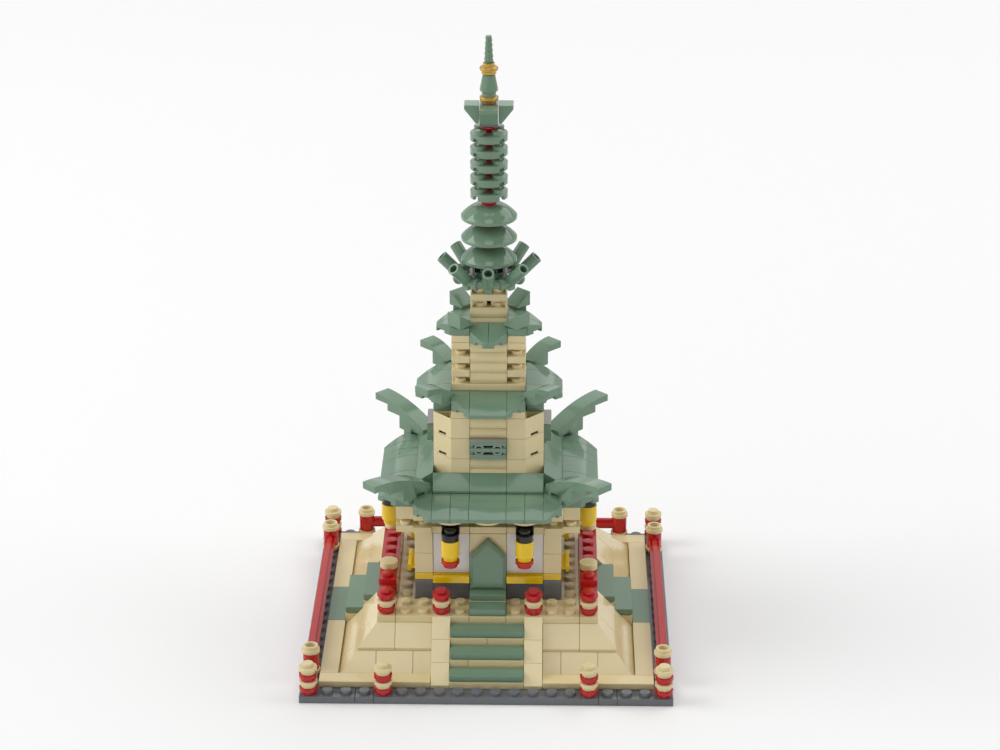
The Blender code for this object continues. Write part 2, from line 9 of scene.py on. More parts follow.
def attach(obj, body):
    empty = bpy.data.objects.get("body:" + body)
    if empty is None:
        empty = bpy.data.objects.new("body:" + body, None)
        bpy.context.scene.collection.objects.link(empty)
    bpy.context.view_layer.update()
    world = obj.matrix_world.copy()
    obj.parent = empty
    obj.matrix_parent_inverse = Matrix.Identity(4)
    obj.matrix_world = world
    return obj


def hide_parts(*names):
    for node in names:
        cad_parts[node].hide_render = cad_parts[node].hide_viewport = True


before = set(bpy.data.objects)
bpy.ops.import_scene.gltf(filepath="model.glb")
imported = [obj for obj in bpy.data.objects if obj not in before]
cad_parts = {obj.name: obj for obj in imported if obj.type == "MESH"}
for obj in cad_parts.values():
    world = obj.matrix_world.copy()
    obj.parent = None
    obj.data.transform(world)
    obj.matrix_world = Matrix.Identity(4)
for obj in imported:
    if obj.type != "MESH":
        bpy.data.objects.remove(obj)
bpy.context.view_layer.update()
print("frame loaded:", len(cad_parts), "nodes")

# Everything is modelled in millimetres, counted in studs and plates, and made metres when it is finished.
# The half is half a stud less its joint, and near is how close to a place a picked vertex lies.
grid = {"stud": 8.0, "plate": 3.2, "joint": 0.07, "half": 3.95, "edge": 0.2, "near": 0.01, "seed": 7}
shading = {"smoothAngle": 50, "weight": 100}
masters = []
quarters = (0, 90, 180, 270)
diagonals = (45, 135, 225, 315)


def at(x, y, z):  # a place in studs, studs and plates
    return Vector((x * grid["stud"], y * grid["stud"], z * grid["plate"]))


def plates(count, extra=0.0):  # a height in plates, and a little more
    return count * grid["plate"] + extra


# small modelling helpers

def deselectAll():
    bpy.ops.object.select_all(action="DESELECT")


def applyPlace(part):
    deselectAll()
    part.select_set(True)
    bpy.context.view_layer.objects.active = part
    bpy.ops.object.transform_apply(location=True, rotation=True, scale=True)


def applyModifier(part, kind, **settings):
    bpy.context.view_layer.objects.active = part
    modifier = part.modifiers.new("shape", kind)
    for key, value in settings.items():
        setattr(modifier, key, value)
    bpy.ops.object.modifier_apply(modifier=modifier.name)


def softenEdges(part, width=None, segments=2, angle=30):  # the small radius of a moulded edge
    applyModifier(part, "BEVEL", width=width or grid["edge"], segments=segments,
                  limit_method="ANGLE", angle_limit=math.radians(angle), use_clamp_overlap=True)


def pick(test, kind="VERT"):  # select by place, in edit mode
    bpy.ops.mesh.select_mode(type=kind)
    mesh = bpy.context.object.data
    shape = bmesh.from_edit_mesh(mesh)
    items = {"VERT": shape.verts, "EDGE": shape.edges, "FACE": shape.faces}[kind]
    for item in shape.faces[:] + shape.edges[:] + shape.verts[:]:
        item.select = False
    for item in items:
        if test(item):
            item.select_set(True)
    shape.select_flush_mode()
    bmesh.update_edit_mesh(mesh)


def startCube(low, high):  # one cube at its size and place, left in edit mode
    deselectAll()
    low, high = Vector(low), Vector(high)
    bpy.ops.mesh.primitive_cube_add(size=1, location=(low + high) / 2, scale=high - low)
    part = bpy.context.object
    applyPlace(part)
    bpy.ops.object.mode_set(mode="EDIT")
    bpy.ops.mesh.select_all(action="SELECT")
    return part


def leaveEdit():
    bpy.ops.object.mode_set(mode="OBJECT")


def brickStack(cells, edge=None, segments=2):  # plain bricks as (x0, x1, y0, y1, z0, z1) on the grid
    gap = grid["joint"]
    part = None
    for x0, x1, y0, y1, z0, z1 in cells:
        low = at(x0, y0, z0) + Vector((gap, gap, gap / 2))
        high = at(x1, y1, z1) - Vector((gap, gap, gap / 2))
        if part is None:
            part = startCube(low, high)
        else:
            bpy.ops.mesh.primitive_cube_add(size=1, location=(low + high) / 2, scale=high - low)
    leaveEdit()
    softenEdges(part, edge, segments)
    return part


tile = {"foot": 0.45, "inset": 0.04, "edge": 0.25, "footEdge": 0.05}


def tileStack(cells):  # tiles are bricks with a shallow groove round their foot
    foot, inset = tile["foot"] / grid["plate"], tile["inset"]
    bodies, feet = [], []
    for x0, x1, y0, y1, z0, z1 in cells:
        bodies.append((x0, x1, y0, y1, z0 + foot, z1))
        feet.append((x0 + inset, x1 - inset, y0 + inset, y1 - inset, z0, z0 + 2 * foot))
    return [brickStack(bodies, tile["edge"]), brickStack(feet, tile["footEdge"], 1)]


def drawLine(points):  # a chain of vertices, extruded one after another, left in edit mode
    deselectAll()
    bpy.ops.mesh.primitive_plane_add(size=1)
    part = bpy.context.object
    bpy.ops.object.mode_set(mode="EDIT")
    bpy.ops.mesh.select_mode(type="VERT")
    bpy.ops.mesh.select_all(action="SELECT")
    bpy.ops.mesh.merge(type="CENTER")
    bpy.ops.transform.translate(value=points[0])
    for before, after in zip(points, points[1:]):
        bpy.ops.mesh.extrude_vertices_move(
            TRANSFORM_OT_translate={"value": Vector(after) - Vector(before)})
    bpy.ops.mesh.select_all(action="SELECT")
    return part


def turnedPart(profile, sides=32, edge=0.0):  # radius and height pairs, spun round the upright axis
    part = drawLine([Vector((radius, 0, height)) for radius, height in profile])
    bpy.ops.mesh.spin(steps=sides, angle=2 * math.pi, center=(0, 0, 0), axis=(0, 0, 1))
    bpy.ops.mesh.select_all(action="SELECT")
    bpy.ops.mesh.remove_doubles(threshold=0.001)
    bpy.ops.mesh.normals_make_consistent(inside=False)
    leaveEdit()
    if edge:
        softenEdges(part, edge, 2, 40)
    return part


def prismPart(points, push, edge=None, segments=2):  # an outline closed to a face and extruded
    part = drawLine(points)
    bpy.ops.mesh.edge_face_add()
    bpy.ops.mesh.extrude_region_move(TRANSFORM_OT_translate={"value": push})
    bpy.ops.mesh.select_all(action="SELECT")
    bpy.ops.mesh.normals_make_consistent(inside=False)
    leaveEdit()
    if edge != 0:
        softenEdges(part, edge, segments)
    return part


def slopedPart(low, high, lip, pulls, edge=None):  # a brick whose top edges are pulled in above a lip
    part = startCube(low, high)
    bpy.ops.mesh.bisect(plane_co=(0, 0, low[2] + lip), plane_no=(0, 0, 1))
    for axis, side, move in pulls:
        pick(lambda v: v.co.z > high[2] - grid["near"] and abs(v.co[axis] - side) < grid["near"])
        bpy.ops.transform.translate(value=[move if i == axis else 0 for i in range(3)])
    leaveEdit()
    softenEdges(part, edge)
    return part


def curvedPart(low, high, fall, curve, cuts=(), steps=8):  # a slope that curves down towards the front
    part = startCube(low, high)
    pick(lambda e: abs(e.verts[0].co.y - e.verts[1].co.y) > grid["near"], "EDGE")
    bpy.ops.mesh.subdivide(number_cuts=steps - 1)
    depth = high[1] - low[1]
    for step in range(1, steps + 1):
        y = high[1] - depth * step / steps
        pick(lambda v: abs(v.co.y - y) < grid["near"] and v.co.z > high[2] - grid["near"])
        bpy.ops.transform.translate(value=(0, 0, -fall * (step / steps) ** curve))
    for point, normal in cuts:
        bpy.ops.mesh.select_all(action="SELECT")
        bpy.ops.mesh.bisect(plane_co=point, plane_no=normal, use_fill=True, clear_outer=True)
    leaveEdit()
    softenEdges(part)
    return part


def boxPart(low, high, edge):
    part = startCube(low, high)
    leaveEdit()
    softenEdges(part, edge)
    return part


def mirroredBoxes(boxes, edge):  # each box and its twin on the other side
    made = []
    for (x0, y0, z0), (x1, y1, z1) in boxes:
        made += [boxPart((x0, y0, z0), (x1, y1, z1), edge), boxPart((-x1, y0, z0), (-x0, y1, z1), edge)]
    return made


def turnedBlock(place, size, angle):  # a cube turned about its own upright axis, for cutting and filling
    deselectAll()
    bpy.ops.mesh.primitive_cube_add(size=1, rotation=(0, 0, angle), location=place, scale=size)
    block = bpy.context.object
    applyPlace(block)
    return block


def cutAway(part, cutter):  # subtract and throw the cutter away
    applyModifier(part, "BOOLEAN", operation="DIFFERENCE", solver="EXACT", object=cutter)
    bpy.data.objects.remove(cutter, do_unlink=True)
    return part


def master(part):  # modelled once, copied for each place, removed at the end
    masters.append(part)
    return part


def placed(source, x=0, y=0, z=0, turn=0.0):  # a copy with a mesh of its own, at a place on the grid
    copy = source.copy()
    copy.data = source.data.copy()
    copy.data.transform(Matrix.Translation(at(x, y, z)) @ Matrix.Rotation(math.radians(turn), 4, "Z"))
    bpy.context.collection.objects.link(copy)
    return copy


def turned(parts, *degrees):  # copies of parts turned about the model's axis
    made = []
    for degree in degrees:
        for part in parts:
            made.append(placed(part, turn=degree))
    return made


def takeTurned(parts, degrees):  # turn the parts themselves, without a copy
    for part in parts:
        part.data.transform(Matrix.Rotation(math.radians(degrees), 4, "Z"))
    return parts


def clearAway(parts):
    for part in parts:
        bpy.data.objects.remove(part, do_unlink=True)


def joined(parts):
    deselectAll()
    for part in parts:
        part.select_set(True)
    bpy.context.view_layer.objects.active = parts[0]
    if len(parts) > 1:
        bpy.ops.object.join()
    return bpy.context.view_layer.objects.active


def toneBricks(piece, spread=1.0):  # each moulded part gets its own faint tone
    shape = bmesh.new()
    shape.from_mesh(piece.data)
    layer = shape.verts.layers.float.new("brickTone")
    shape.verts.ensure_lookup_table()
    seen = set()
    for first in shape.verts:
        if first.index in seen:
            continue
        tone = chance.uniform(-spread, spread)
        queue = [first]
        seen.add(first.index)
        while queue:
            vertex = queue.pop()
            vertex[layer] = tone
            for edge in vertex.link_edges:
                other = edge.other_vert(vertex)
                if other.index not in seen:
                    seen.add(other.index)
                    queue.append(other)
    shape.to_mesh(piece.data)
    shape.free()


def finishPiece(name, parts, material, nodes):  # join, shade, make metres, hand to the frame
    piece = joined(parts)
    piece.name = name
    piece.data.name = name
    piece.data.materials.clear()
    piece.data.materials.append(material)
    piece.data.transform(Matrix.Scale(0.001, 4))
    toneBricks(piece)
    deselectAll()
    piece.select_set(True)
    bpy.context.view_layer.objects.active = piece
    bpy.ops.object.shade_smooth_by_angle(angle=math.radians(shading["smoothAngle"]))
    applyModifier(piece, "WEIGHTED_NORMAL", keep_sharp=True, weight=shading["weight"])
    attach(piece, "root")
    if nodes:
        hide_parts(*nodes)
    return piece


chance = random.Random(grid["seed"])

# camera, light and floor

view = {"place": (24.711, -1148.917, 610.576), "heading": 0.01746, "dip": 0.4042,
        "lens": 103.14, "sensor": 36.0, "nearest": 0.05}


def setCamera():
    bpy.ops.object.camera_add(location=Vector(view["place"]) * 0.001,
                              rotation=(math.pi / 2 - view["dip"], 0, view["heading"]))
    camera = bpy.context.object
    camera.data.sensor_fit = "HORIZONTAL"
    camera.data.sensor_width = view["sensor"]
    camera.data.lens = view["lens"]
    camera.data.clip_start = view["nearest"]
    bpy.context.scene.camera = camera


studio = {"horizon": 0.635, "zenith": 0.223, "fadeLow": 0.32, "fadeHigh": 0.38, "distance": 3.0,
          "aim": 0.1, "floorSize": 14, "floorTone": 0.93, "floorRoughness": 0.9, "floorGloss": 0.1}
softboxes = {  # azimuth from the front, height angle, width, height, power
    "leftBox": (-90, 35, 1.8, 1.8, 39.1), "leftFrontBox": (-50, 45, 1.6, 1.6, 5.5),
    "leftLowBox": (-65, 14, 1.6, 1.0, 1.7), "frontStrip": (0, 62, 1.2, 1.3, 9.2),
    "rightBox": (90, 35, 1.8, 1.8, 18.8), "topBox": (180, 82, 1.3, 1.3, 9.3),
    "backLeftBox": (-135, 45, 1.8, 1.8, 6.2), "backRightBox": (135, 45, 1.8, 1.8, 17.9),
    "backBox": (180, 30, 2.0, 1.6, 6.9)}


def addBox(name, azimuth, height, width, tall, power):
    around, upward = math.radians(azimuth), math.radians(height)
    place = Vector((math.sin(around) * math.cos(upward), -math.cos(around) * math.cos(upward),
                    math.sin(upward))) * studio["distance"]
    bpy.ops.object.light_add(type="AREA", location=place)
    lamp = bpy.context.object
    lamp.name = name
    lamp.data.shape = "RECTANGLE"
    lamp.data.size = width
    lamp.data.size_y = tall
    lamp.data.energy = power
    lamp.rotation_euler = (Vector((0, 0, studio["aim"])) - place).to_track_quat("-Z", "Y").to_euler()


def setStudio():
    scene = bpy.context.scene
    scene.view_settings.view_transform = "Standard"
    world = bpy.data.worlds.new("studio")
    scene.world = world
    world.use_nodes = True
    nodes, links = world.node_tree.nodes, world.node_tree.links
    background = nodes["Background"]
    background.inputs["Color"].default_value = (1, 1, 1, 1)
    direction, split = nodes.new("ShaderNodeTexCoord"), nodes.new("ShaderNodeSeparateXYZ")
    fade = nodes.new("ShaderNodeMapRange")  # white walls below, a darker ceiling above
    fade.inputs["From Min"].default_value = studio["fadeLow"]
    fade.inputs["From Max"].default_value = studio["fadeHigh"]
    fade.inputs["To Min"].default_value = studio["horizon"]
    fade.inputs["To Max"].default_value = studio["zenith"]
    links.new(direction.outputs["Generated"], split.inputs[0])
    links.new(split.outputs["Z"], fade.inputs["Value"])
    links.new(fade.outputs["Result"], background.inputs["Strength"])
    for name, settings in softboxes.items():
        addBox(name, *settings)
    deselectAll()
    bpy.ops.mesh.primitive_plane_add(size=studio["floorSize"])
    floor = bpy.context.object
    floor.name = "floor"
    paint = bpy.data.materials.new("floorPaper")
    paint.use_nodes = True
    shader = paint.node_tree.nodes["Principled BSDF"]
    tone = studio["floorTone"]
    shader.inputs["Base Color"].default_value = (tone, tone, tone, 1)
    shader.inputs["Roughness"].default_value = studio["floorRoughness"]
    shader.inputs["Specular IOR Level"].default_value = studio["floorGloss"]
    floor.data.materials.append(paint)


setCamera()
setStudio()
print("camera, lamps and floor set")

# moulded plastic

finish = {"toneSpread": 0.02, "grainScale": 420.0, "grainDetail": 2, "grainStrength": 0.05,
          "grainHeight": 0.0002, "smudgeScale": 38.0, "smudgeDetail": 3, "smudgeRange": (0.3, 0.7),
          "smoothest": 0.06, "roughest": 0.13, "refraction": 1.5, "goldMetallic": 0.35}
plasticColours = {
    "tan": (0.74, 0.62, 0.345), "green": (0.160, 0.260, 0.175), "red": (0.48, 0.008, 0.010),
    "yellow": (0.83, 0.55, 0.007), "darkGrey": (0.140, 0.150, 0.160), "black": (0.006, 0.006, 0.006),
    "white": (0.70, 0.67, 0.64), "lightGrey": (0.36, 0.35, 0.35), "gold": (0.52, 0.33, 0.06)}


def mouldedGroup():  # faint tone, smudge and grain that every plastic shares
    group = bpy.data.node_groups.new("mouldedSurface", "ShaderNodeTree")
    sockets = group.interface
    sockets.new_socket("Colour", in_out="INPUT", socket_type="NodeSocketColor")
    sockets.new_socket("Tone", in_out="INPUT", socket_type="NodeSocketFloat")
    sockets.new_socket("Place", in_out="INPUT", socket_type="NodeSocketVector")
    sockets.new_socket("Colour", in_out="OUTPUT", socket_type="NodeSocketColor")
    sockets.new_socket("Roughness", in_out="OUTPUT", socket_type="NodeSocketFloat")
    sockets.new_socket("Height", in_out="OUTPUT", socket_type="NodeSocketFloat")
    nodes, links = group.nodes, group.links
    given = nodes.new("NodeGroupInput")
    result = nodes.new("NodeGroupOutput")

    def noise(scale, detail):
        node = nodes.new("ShaderNodeTexNoise")
        node.inputs["Scale"].default_value = scale
        node.inputs["Detail"].default_value = detail
        links.new(given.outputs["Place"], node.inputs["Vector"])
        return node.outputs["Fac"]

    def ranged(value, low, high, fromLow=0.0, fromHigh=1.0):
        node = nodes.new("ShaderNodeMapRange")
        node.inputs["From Min"].default_value = fromLow
        node.inputs["From Max"].default_value = fromHigh
        node.inputs["To Min"].default_value = low
        node.inputs["To Max"].default_value = high
        links.new(value, node.inputs["Value"])
        return node.outputs["Result"]

    smudge = noise(finish["smudgeScale"], finish["smudgeDetail"])
    grain = noise(finish["grainScale"], finish["grainDetail"])
    spread = finish["toneSpread"]
    brick = ranged(given.outputs["Tone"], 1 - spread, 1 + spread, -1, 1)
    cloud = ranged(smudge, 1 - spread, 1 + spread, *finish["smudgeRange"])
    both = nodes.new("ShaderNodeMath")
    both.operation = "MULTIPLY"
    links.new(brick, both.inputs[0])
    links.new(cloud, both.inputs[1])
    shade = nodes.new("ShaderNodeVectorMath")
    shade.operation = "SCALE"
    links.new(given.outputs["Colour"], shade.inputs[0])
    links.new(both.outputs[0], shade.inputs["Scale"])
    links.new(shade.outputs[0], result.inputs["Colour"])
    links.new(ranged(smudge, finish["smoothest"], finish["roughest"], *finish["smudgeRange"]),
              result.inputs["Roughness"])
    links.new(grain, result.inputs["Height"])
    return group


def plasticMaterial(name, colour, metallic=0.0):
    material = bpy.data.materials.new(name + "Plastic")
    material.use_nodes = True
    nodes, links = material.node_tree.nodes, material.node_tree.links
    shader = nodes["Principled BSDF"]
    shader.inputs["IOR"].default_value = finish["refraction"]
    shader.inputs["Metallic"].default_value = metallic
    place = nodes.new("ShaderNodeTexCoord")
    tone = nodes.new("ShaderNodeAttribute")
    tone.attribute_name = "brickTone"
    group = nodes.new("ShaderNodeGroup")
    group.node_tree = moulded
    group.inputs["Colour"].default_value = (*colour, 1)
    links.new(place.outputs["Object"], group.inputs["Place"])
    links.new(tone.outputs["Fac"], group.inputs["Tone"])
    links.new(group.outputs["Colour"], shader.inputs["Base Color"])
    links.new(group.outputs["Roughness"], shader.inputs["Roughness"])
    bump = nodes.new("ShaderNodeBump")
    bump.inputs["Strength"].default_value = finish["grainStrength"]
    bump.inputs["Distance"].default_value = finish["grainHeight"]
    links.new(group.outputs["Height"], bump.inputs["Height"])
    links.new(bump.outputs["Normal"], shader.inputs["Normal"])
    return material


moulded = mouldedGroup()
plastic = {name: plasticMaterial(name, colour, finish["goldMetallic"] if name == "gold" else 0.0)
           for name, colour in plasticColours.items()}
print("plastics mixed:", len(plastic))

# parts that come back all over the model

common = {"studRadius": 2.4, "studHeight": 1.7, "studSink": 0.3, "studSides": 20,
          "studRounding": ((0, 0.22), (0.07, 0.07), (0.25, 0)),
          "neckRadius": 3.1, "neckHeight": 1.6, "plateTop": 3.17, "openRadius": 3.2, "openHole": 2.17,
          "openDepth": 1.9, "plateSides": 32, "plateEdge": 0.16,
          "logWidth": 15.85, "logHeight": 4.8, "logDepth": 4.0, "logBulge": 0.75, "logSteps": 8,
          "logEdge": 0.12}


def makeStud():
    radius, height, sink = common["studRadius"], common["studHeight"], common["studSink"]
    shoulder = [(radius - inward, height - down) for inward, down in common["studRounding"]]
    return turnedPart([(0, -sink), (radius, -sink)] + shoulder + [(0, height)], common["studSides"])


def makeRoundPlate(flip=False):
    wide, neck, rise, top = grid["half"], common["neckRadius"], common["neckHeight"], common["plateTop"]
    profile = [(0, 0), (neck, 0), (neck, rise), (wide, rise), (wide, top), (0, top)]
    if flip:  # upside down, with its hollow neck on top
        rim, hole, floor = common["openRadius"], common["openHole"], top - common["openDepth"]
        profile = [(0, 0), (wide, 0), (wide, top - rise), (rim, top - rise), (rim, top),
                   (hole, top), (hole, floor), (0, floor)]
    return turnedPart(profile, common["plateSides"], common["plateEdge"])


def makeLog():  # one of the two logs on a brick's face, facing the front
    width, height, bulge = common["logWidth"], common["logHeight"], common["logBulge"]
    steps, back = common["logSteps"], common["logDepth"]
    points = [Vector((-width / 2, back, 0))]
    for step in range(steps + 1):
        share = step / steps
        points.append(Vector((-width / 2, bulge * (2 * share - 1) ** 2, share * height)))
    points.append(Vector((-width / 2, back, height)))
    return prismPart(points, (width, 0, 0), common["logEdge"], 1)


stud = master(makeStud())
roundPlate = master(makeRoundPlate())
flippedPlate = master(makeRoundPlate(flip=True))
logFace = master(makeLog())
print("studs, round plates and logs modelled")


def studs(spots):
    return [placed(stud, x, y, z) for x, y, z in spots]


# base plate and border

base = {"half": 10, "frontSeams": (-10, -7, -6, 6, 7, 10), "sideSeams": (-8, -4, 4, 8), "studRow": 9.5,
        "postStuds": ((-9.5, -9.5), (9.5, -9.5), (-5.5, -9.5), (5.5, -9.5), (-9.5, 9.5), (9.5, 9.5),
                      (-7.5, 9.5), (7.5, 9.5), (-9.5, -7.5), (-9.5, 7.5), (9.5, -7.5), (9.5, 7.5))}


def makeBase():
    half, row, seams, sideSeams = base["half"], base["studRow"], base["frontSeams"], base["sideSeams"]
    cells = []
    for x0, x1 in zip(seams, seams[1:]):
        cells += [(x0, x1, -half, -half + 2, 0, 1), (x0, x1, half - 2, half, 0, 1)]
    for y0, y1 in zip(sideSeams, sideSeams[1:]):
        cells += [(-half, -half + 2, y0, y1, 0, 1), (half - 2, half, y0, y1, 0, 1)]
    cells += [(-8, 0, -8, 8, 0, 1), (0, 8, -8, 8, 0, 1)]
    spots = []
    for step in range(2 * half):
        x = step - row
        spots += [(x, -row, 1), (x, row, 1)]
        if abs(x) < row:
            spots += [(-row, x, 1), (row, x, 1)]
    spots = [s for s in spots if (s[0], s[1]) not in base["postStuds"]]
    finishPiece("basePlates", [brickStack(cells)] + studs(spots), plastic["darkGrey"],
                ["base_plate"])


terrace = {"lip": 1.3, "run": 2, "gap": 0.06, "lift": 0.03,
           "lowerFront": ((-6, -4), (-4, -3), (3, 4), (4, 6)),
           "lowerSides": ((-6, -4), (-4, -2), (2, 4), (4, 6)),
           "upperFront": ((-5, -3), (3, 5)), "upperSides": ((-5, -3), (-3, -2), (2, 3), (3, 5))}


def slopeRun(half, bottom, top, widths, turns):  # straight slopes of one course, laid out for the front
    made, gap = [], terrace["gap"]
    for x0, x1 in widths:
        low = at(x0, -half, bottom) + Vector((gap, 0, terrace["lift"]))
        high = at(x1, -half + terrace["run"], top) - Vector((gap, gap, 0))
        part = slopedPart(low, high, terrace["lip"], [(1, low.y, grid["stud"])])
        made += turned([part], *turns)
        clearAway([part])
    return made


def slopeCorners(half, bottom, top):  # the four corners of a course
    inner, gap = terrace["run"] - half, terrace["gap"]
    low = at(-half, -half, bottom) + Vector((0, 0, terrace["lift"]))
    high = at(inner, inner, top) - Vector((gap, gap, 0))
    corner = slopedPart(low, high, terrace["lip"],
                        [(1, low.y, grid["stud"]), (0, low.x, grid["stud"])])
    made = turned([corner], *quarters)
    clearAway([corner])
    return made


def makeTerrace():
    border = []
    for y0, y1 in ((-9, -8), (8, 9)):
        inner = 3 if y0 < 0 else 2
        border += [(-9, -inner, y0, y1, 1, 2), (inner, 9, y0, y1, 1, 2)]
    for x0, x1 in ((-9, -8), (8, 9)):
        border += [(x0, x1, -8, -2, 1, 2), (x0, x1, 2, 8, 1, 2)]
    lower = tileStack(border)
    lower += slopeRun(8, 1, 4, terrace["lowerFront"], quarters[:1])
    lower += slopeRun(8, 1, 4, terrace["lowerSides"], quarters[1:])
    lower += slopeCorners(8, 1, 4)
    lower.append(brickStack([(-7, -6, -6, -2, 1, 4), (6, 7, -6, -2, 1, 4), (-7, -6, 2, 6, 1, 4),
                             (6, 7, 2, 6, 1, 4), (-6, 6, -6, 6, 1, 4)]))
    finishPiece("terraceLower", lower, plastic["tan"], ["terrace_lower_course"])
    upper = slopeRun(7, 4, 7, terrace["upperFront"], quarters[:1])
    upper += slopeRun(7, 4, 7, terrace["upperSides"], quarters[1:])
    upper += slopeCorners(7, 4, 7)
    upper.append(brickStack([(-5, 5, -6, 6, 4, 7)]))
    finishPiece("terraceUpper", upper, plastic["tan"], ["terrace_upper_course"])


platform = {"seams": (-6, -5, -1, 1, 5, 6), "rows": (-5.5, -4.5, 4.5, 5.5), "posts": (-5.5, -2.5, 2.5, 5.5),
            "handrailEnds": (-3.5, 3.5)}


def makePlatform():
    cells = []
    seams = platform["seams"]
    for x0, x1 in zip(seams, seams[1:]):
        cells.append((x0, x1, -6, -4, 7, 8))
        cells.append((x0, x1, 4, 6, 7, 8))
    for x0, x1 in ((-6, -5), (-5, -4), (4, 5), (5, 6)):
        cells.append((x0, x1, -4, 4, 7, 8))
    cells.append((-4, 4, -4, 4, 7, 8))
    rows, posts, ends = platform["rows"], platform["posts"], platform["handrailEnds"]
    spots = []
    for step in range(12):
        x = rows[0] + step
        for y in rows:
            underDoorStep = abs(x) < 1 and y < 0
            underPost = y == rows[0] and x in posts
            if not underDoorStep and not underPost:
                spots.append((x, y, 8))
    for step in range(8):
        y = ends[0] + step
        for x in rows:
            if x not in (rows[0], rows[-1]) or y not in ends:
                spots.append((x, y, 8))
    finishPiece("platformPlates", [brickStack(cells)] + studs(spots), plastic["tan"],
                ["platform_plate"])


makeBase()
makeTerrace()
makePlatform()
print("base, terrace and platform built")

# stairs

stairs = {"cheekLow": 4.7, "cheekHigh": 25.55, "cheekFront": -72.0, "cheekFoot": 3.25, "cheekThick": 1.4,
          "cheekGap": 0.05, "cheekEdge": 0.12, "cheekSides": {"left": -23.95, "right": 16.05},
          "cheekCore": (2.01, 2.99)}


def makeFrontStair():
    treads, risers = [], []
    for step in range(3):
        y, z = -9 + step, 1 + 2 * step
        treads.append((-2, 2, y, y + 1, z + 1, z + 2))
        seam = (None, -1, 0)[step]
        if seam is None:
            risers.append((-2, 2, y, y + 1, z, z + 1))
        else:
            risers += [(-2, seam, y, y + 1, z, z + 1), (seam, 2, y, y + 1, z, z + 1)]
        if step:
            risers.append((-2, 2, y, -6, 1, z))
    finishPiece("frontTreads", tileStack(treads), plastic["green"], ["front_stair"])
    finishPiece("frontRisers", [brickStack(risers)], plastic["tan"], [])


def makeSideStair(name, node, degrees):
    treads, risers = [], []
    for step in range(3):
        y, z = -9 + step, 2 * step
        treads.append((-2, 2, y, y + 1, z + 1, z + 2))
        if step:
            risers += [(-2, 2, y, y + 1, z, z + 1), (-2, 2, y, -6, 1, z)]
    treadTiles, riserBricks = tileStack(treads), [brickStack(risers)]
    finishPiece(name + "Treads", takeTurned(treadTiles, degrees), plastic["green"], [node])
    finishPiece(name + "Risers", takeTurned(riserBricks, degrees), plastic["tan"], [])


def makeCheeks():  # three slopes in a row on each side of the front stair
    low, start, gap, run = stairs["cheekLow"], stairs["cheekFront"], stairs["cheekGap"], grid["stud"]
    rise = (stairs["cheekHigh"] - low) / (3 * run)
    for word, x in stairs["cheekSides"].items():
        parts = []
        for step in range(3):
            front, back = start + run * step + gap, start + run * (step + 1) - gap
            bottom = low + rise * (front - start) - stairs["cheekThick"] if step else stairs["cheekFoot"]
            outline = [Vector((x, front, bottom)), Vector((x, back, bottom)),
                       Vector((x, back, low + rise * (back - start))),
                       Vector((x, front, low + rise * (front - start)))]
            parts.append(prismPart(outline, (2 * grid["half"], 0, 0), stairs["cheekEdge"]))
        near, far = stairs["cheekCore"]
        x0, x1 = (near, far) if x > 0 else (-far, -near)
        parts.append(brickStack([(x0, x1, -8, -6, 1, 3), (x0, x1, -7, -6, 3, 5)]))
        finishPiece("cheek" + word.capitalize(), parts, plastic["tan"], ["front_cheek_" + word])


makeFrontStair()
makeSideStair("rightStair", "right_stair", 90)
makeSideStair("backStair", "back_stair", 180)
makeSideStair("leftStair", "left_stair", 270)
makeCheeks()
print("stairs built")

# fence posts, rails and the posts on the platform

fence = {"cornerPosts": {"post_front_left": (-9.5, -9.5), "post_front_right": (9.5, -9.5),
                         "post_stair_left": (-5.5, -9.5), "post_stair_right": (5.5, -9.5),
                         "post_back_left": (-9.5, 9.5), "post_back_right": (9.5, 9.5)},
         "barRadius": 2.4, "barWeb": 0.9, "barHeight": 10.4, "barRow": 9.5, "barEnd": 7.5, "barEdge": 0.15,
         "socket": ((0, 6.45), (3.2, 6.45), (3.45, 6.75), (3.45, 14.05), (3.2, 14.35), (0, 14.35)),
         "foot": ((0, 3.25), (3.1, 3.25), (3.1, 4.8), (3.95, 4.8), (3.95, 6.4), (0, 6.4)), "topPlate": 4.5}


def makeCornerPosts():
    reds, tans = [], []
    for x, y in fence["cornerPosts"].values():
        reds += [placed(roundPlate, x, y, 1), placed(roundPlate, x, y, 3)]
        tans += [placed(roundPlate, x, y, 2), placed(roundPlate, x, y, 4), placed(stud, x, y, 5)]
    finishPiece("cornerPostReds", reds, plastic["red"], list(fence["cornerPosts"]))
    finishPiece("cornerPostTans", tans, plastic["tan"], [])


def makeRail(name, node, degrees):  # a bar of cross section between two end posts
    arm, web, height = fence["barRadius"], fence["barWeb"], fence["barHeight"]
    row, reach = fence["barRow"] * grid["stud"], fence["barEnd"] * grid["stud"]
    cross = ((-arm, -web), (-web, -web), (-web, -arm), (web, -arm), (web, -web), (arm, -web),
             (arm, web), (web, web), (web, arm), (-web, arm), (-web, web), (-arm, web))
    reds = [prismPart([Vector((-reach, row + a, height + b)) for a, b in cross], (2 * reach, 0, 0),
                      fence["barEdge"])]
    tans = []
    socket, foot = turnedPart(fence["socket"], 32, 0.12), turnedPart(fence["foot"], 32, 0.14)
    for x in (-fence["barEnd"], fence["barEnd"]):
        reds.append(placed(socket, x, fence["barRow"], 0))
        tans += [placed(foot, x, fence["barRow"], 0),
                 placed(flippedPlate, x, fence["barRow"], fence["topPlate"])]
    clearAway([socket, foot])
    finishPiece(name + "Red", takeTurned(reds, degrees), plastic["red"], [node])
    finishPiece(name + "Tan", takeTurned(tans, degrees), plastic["tan"], [])


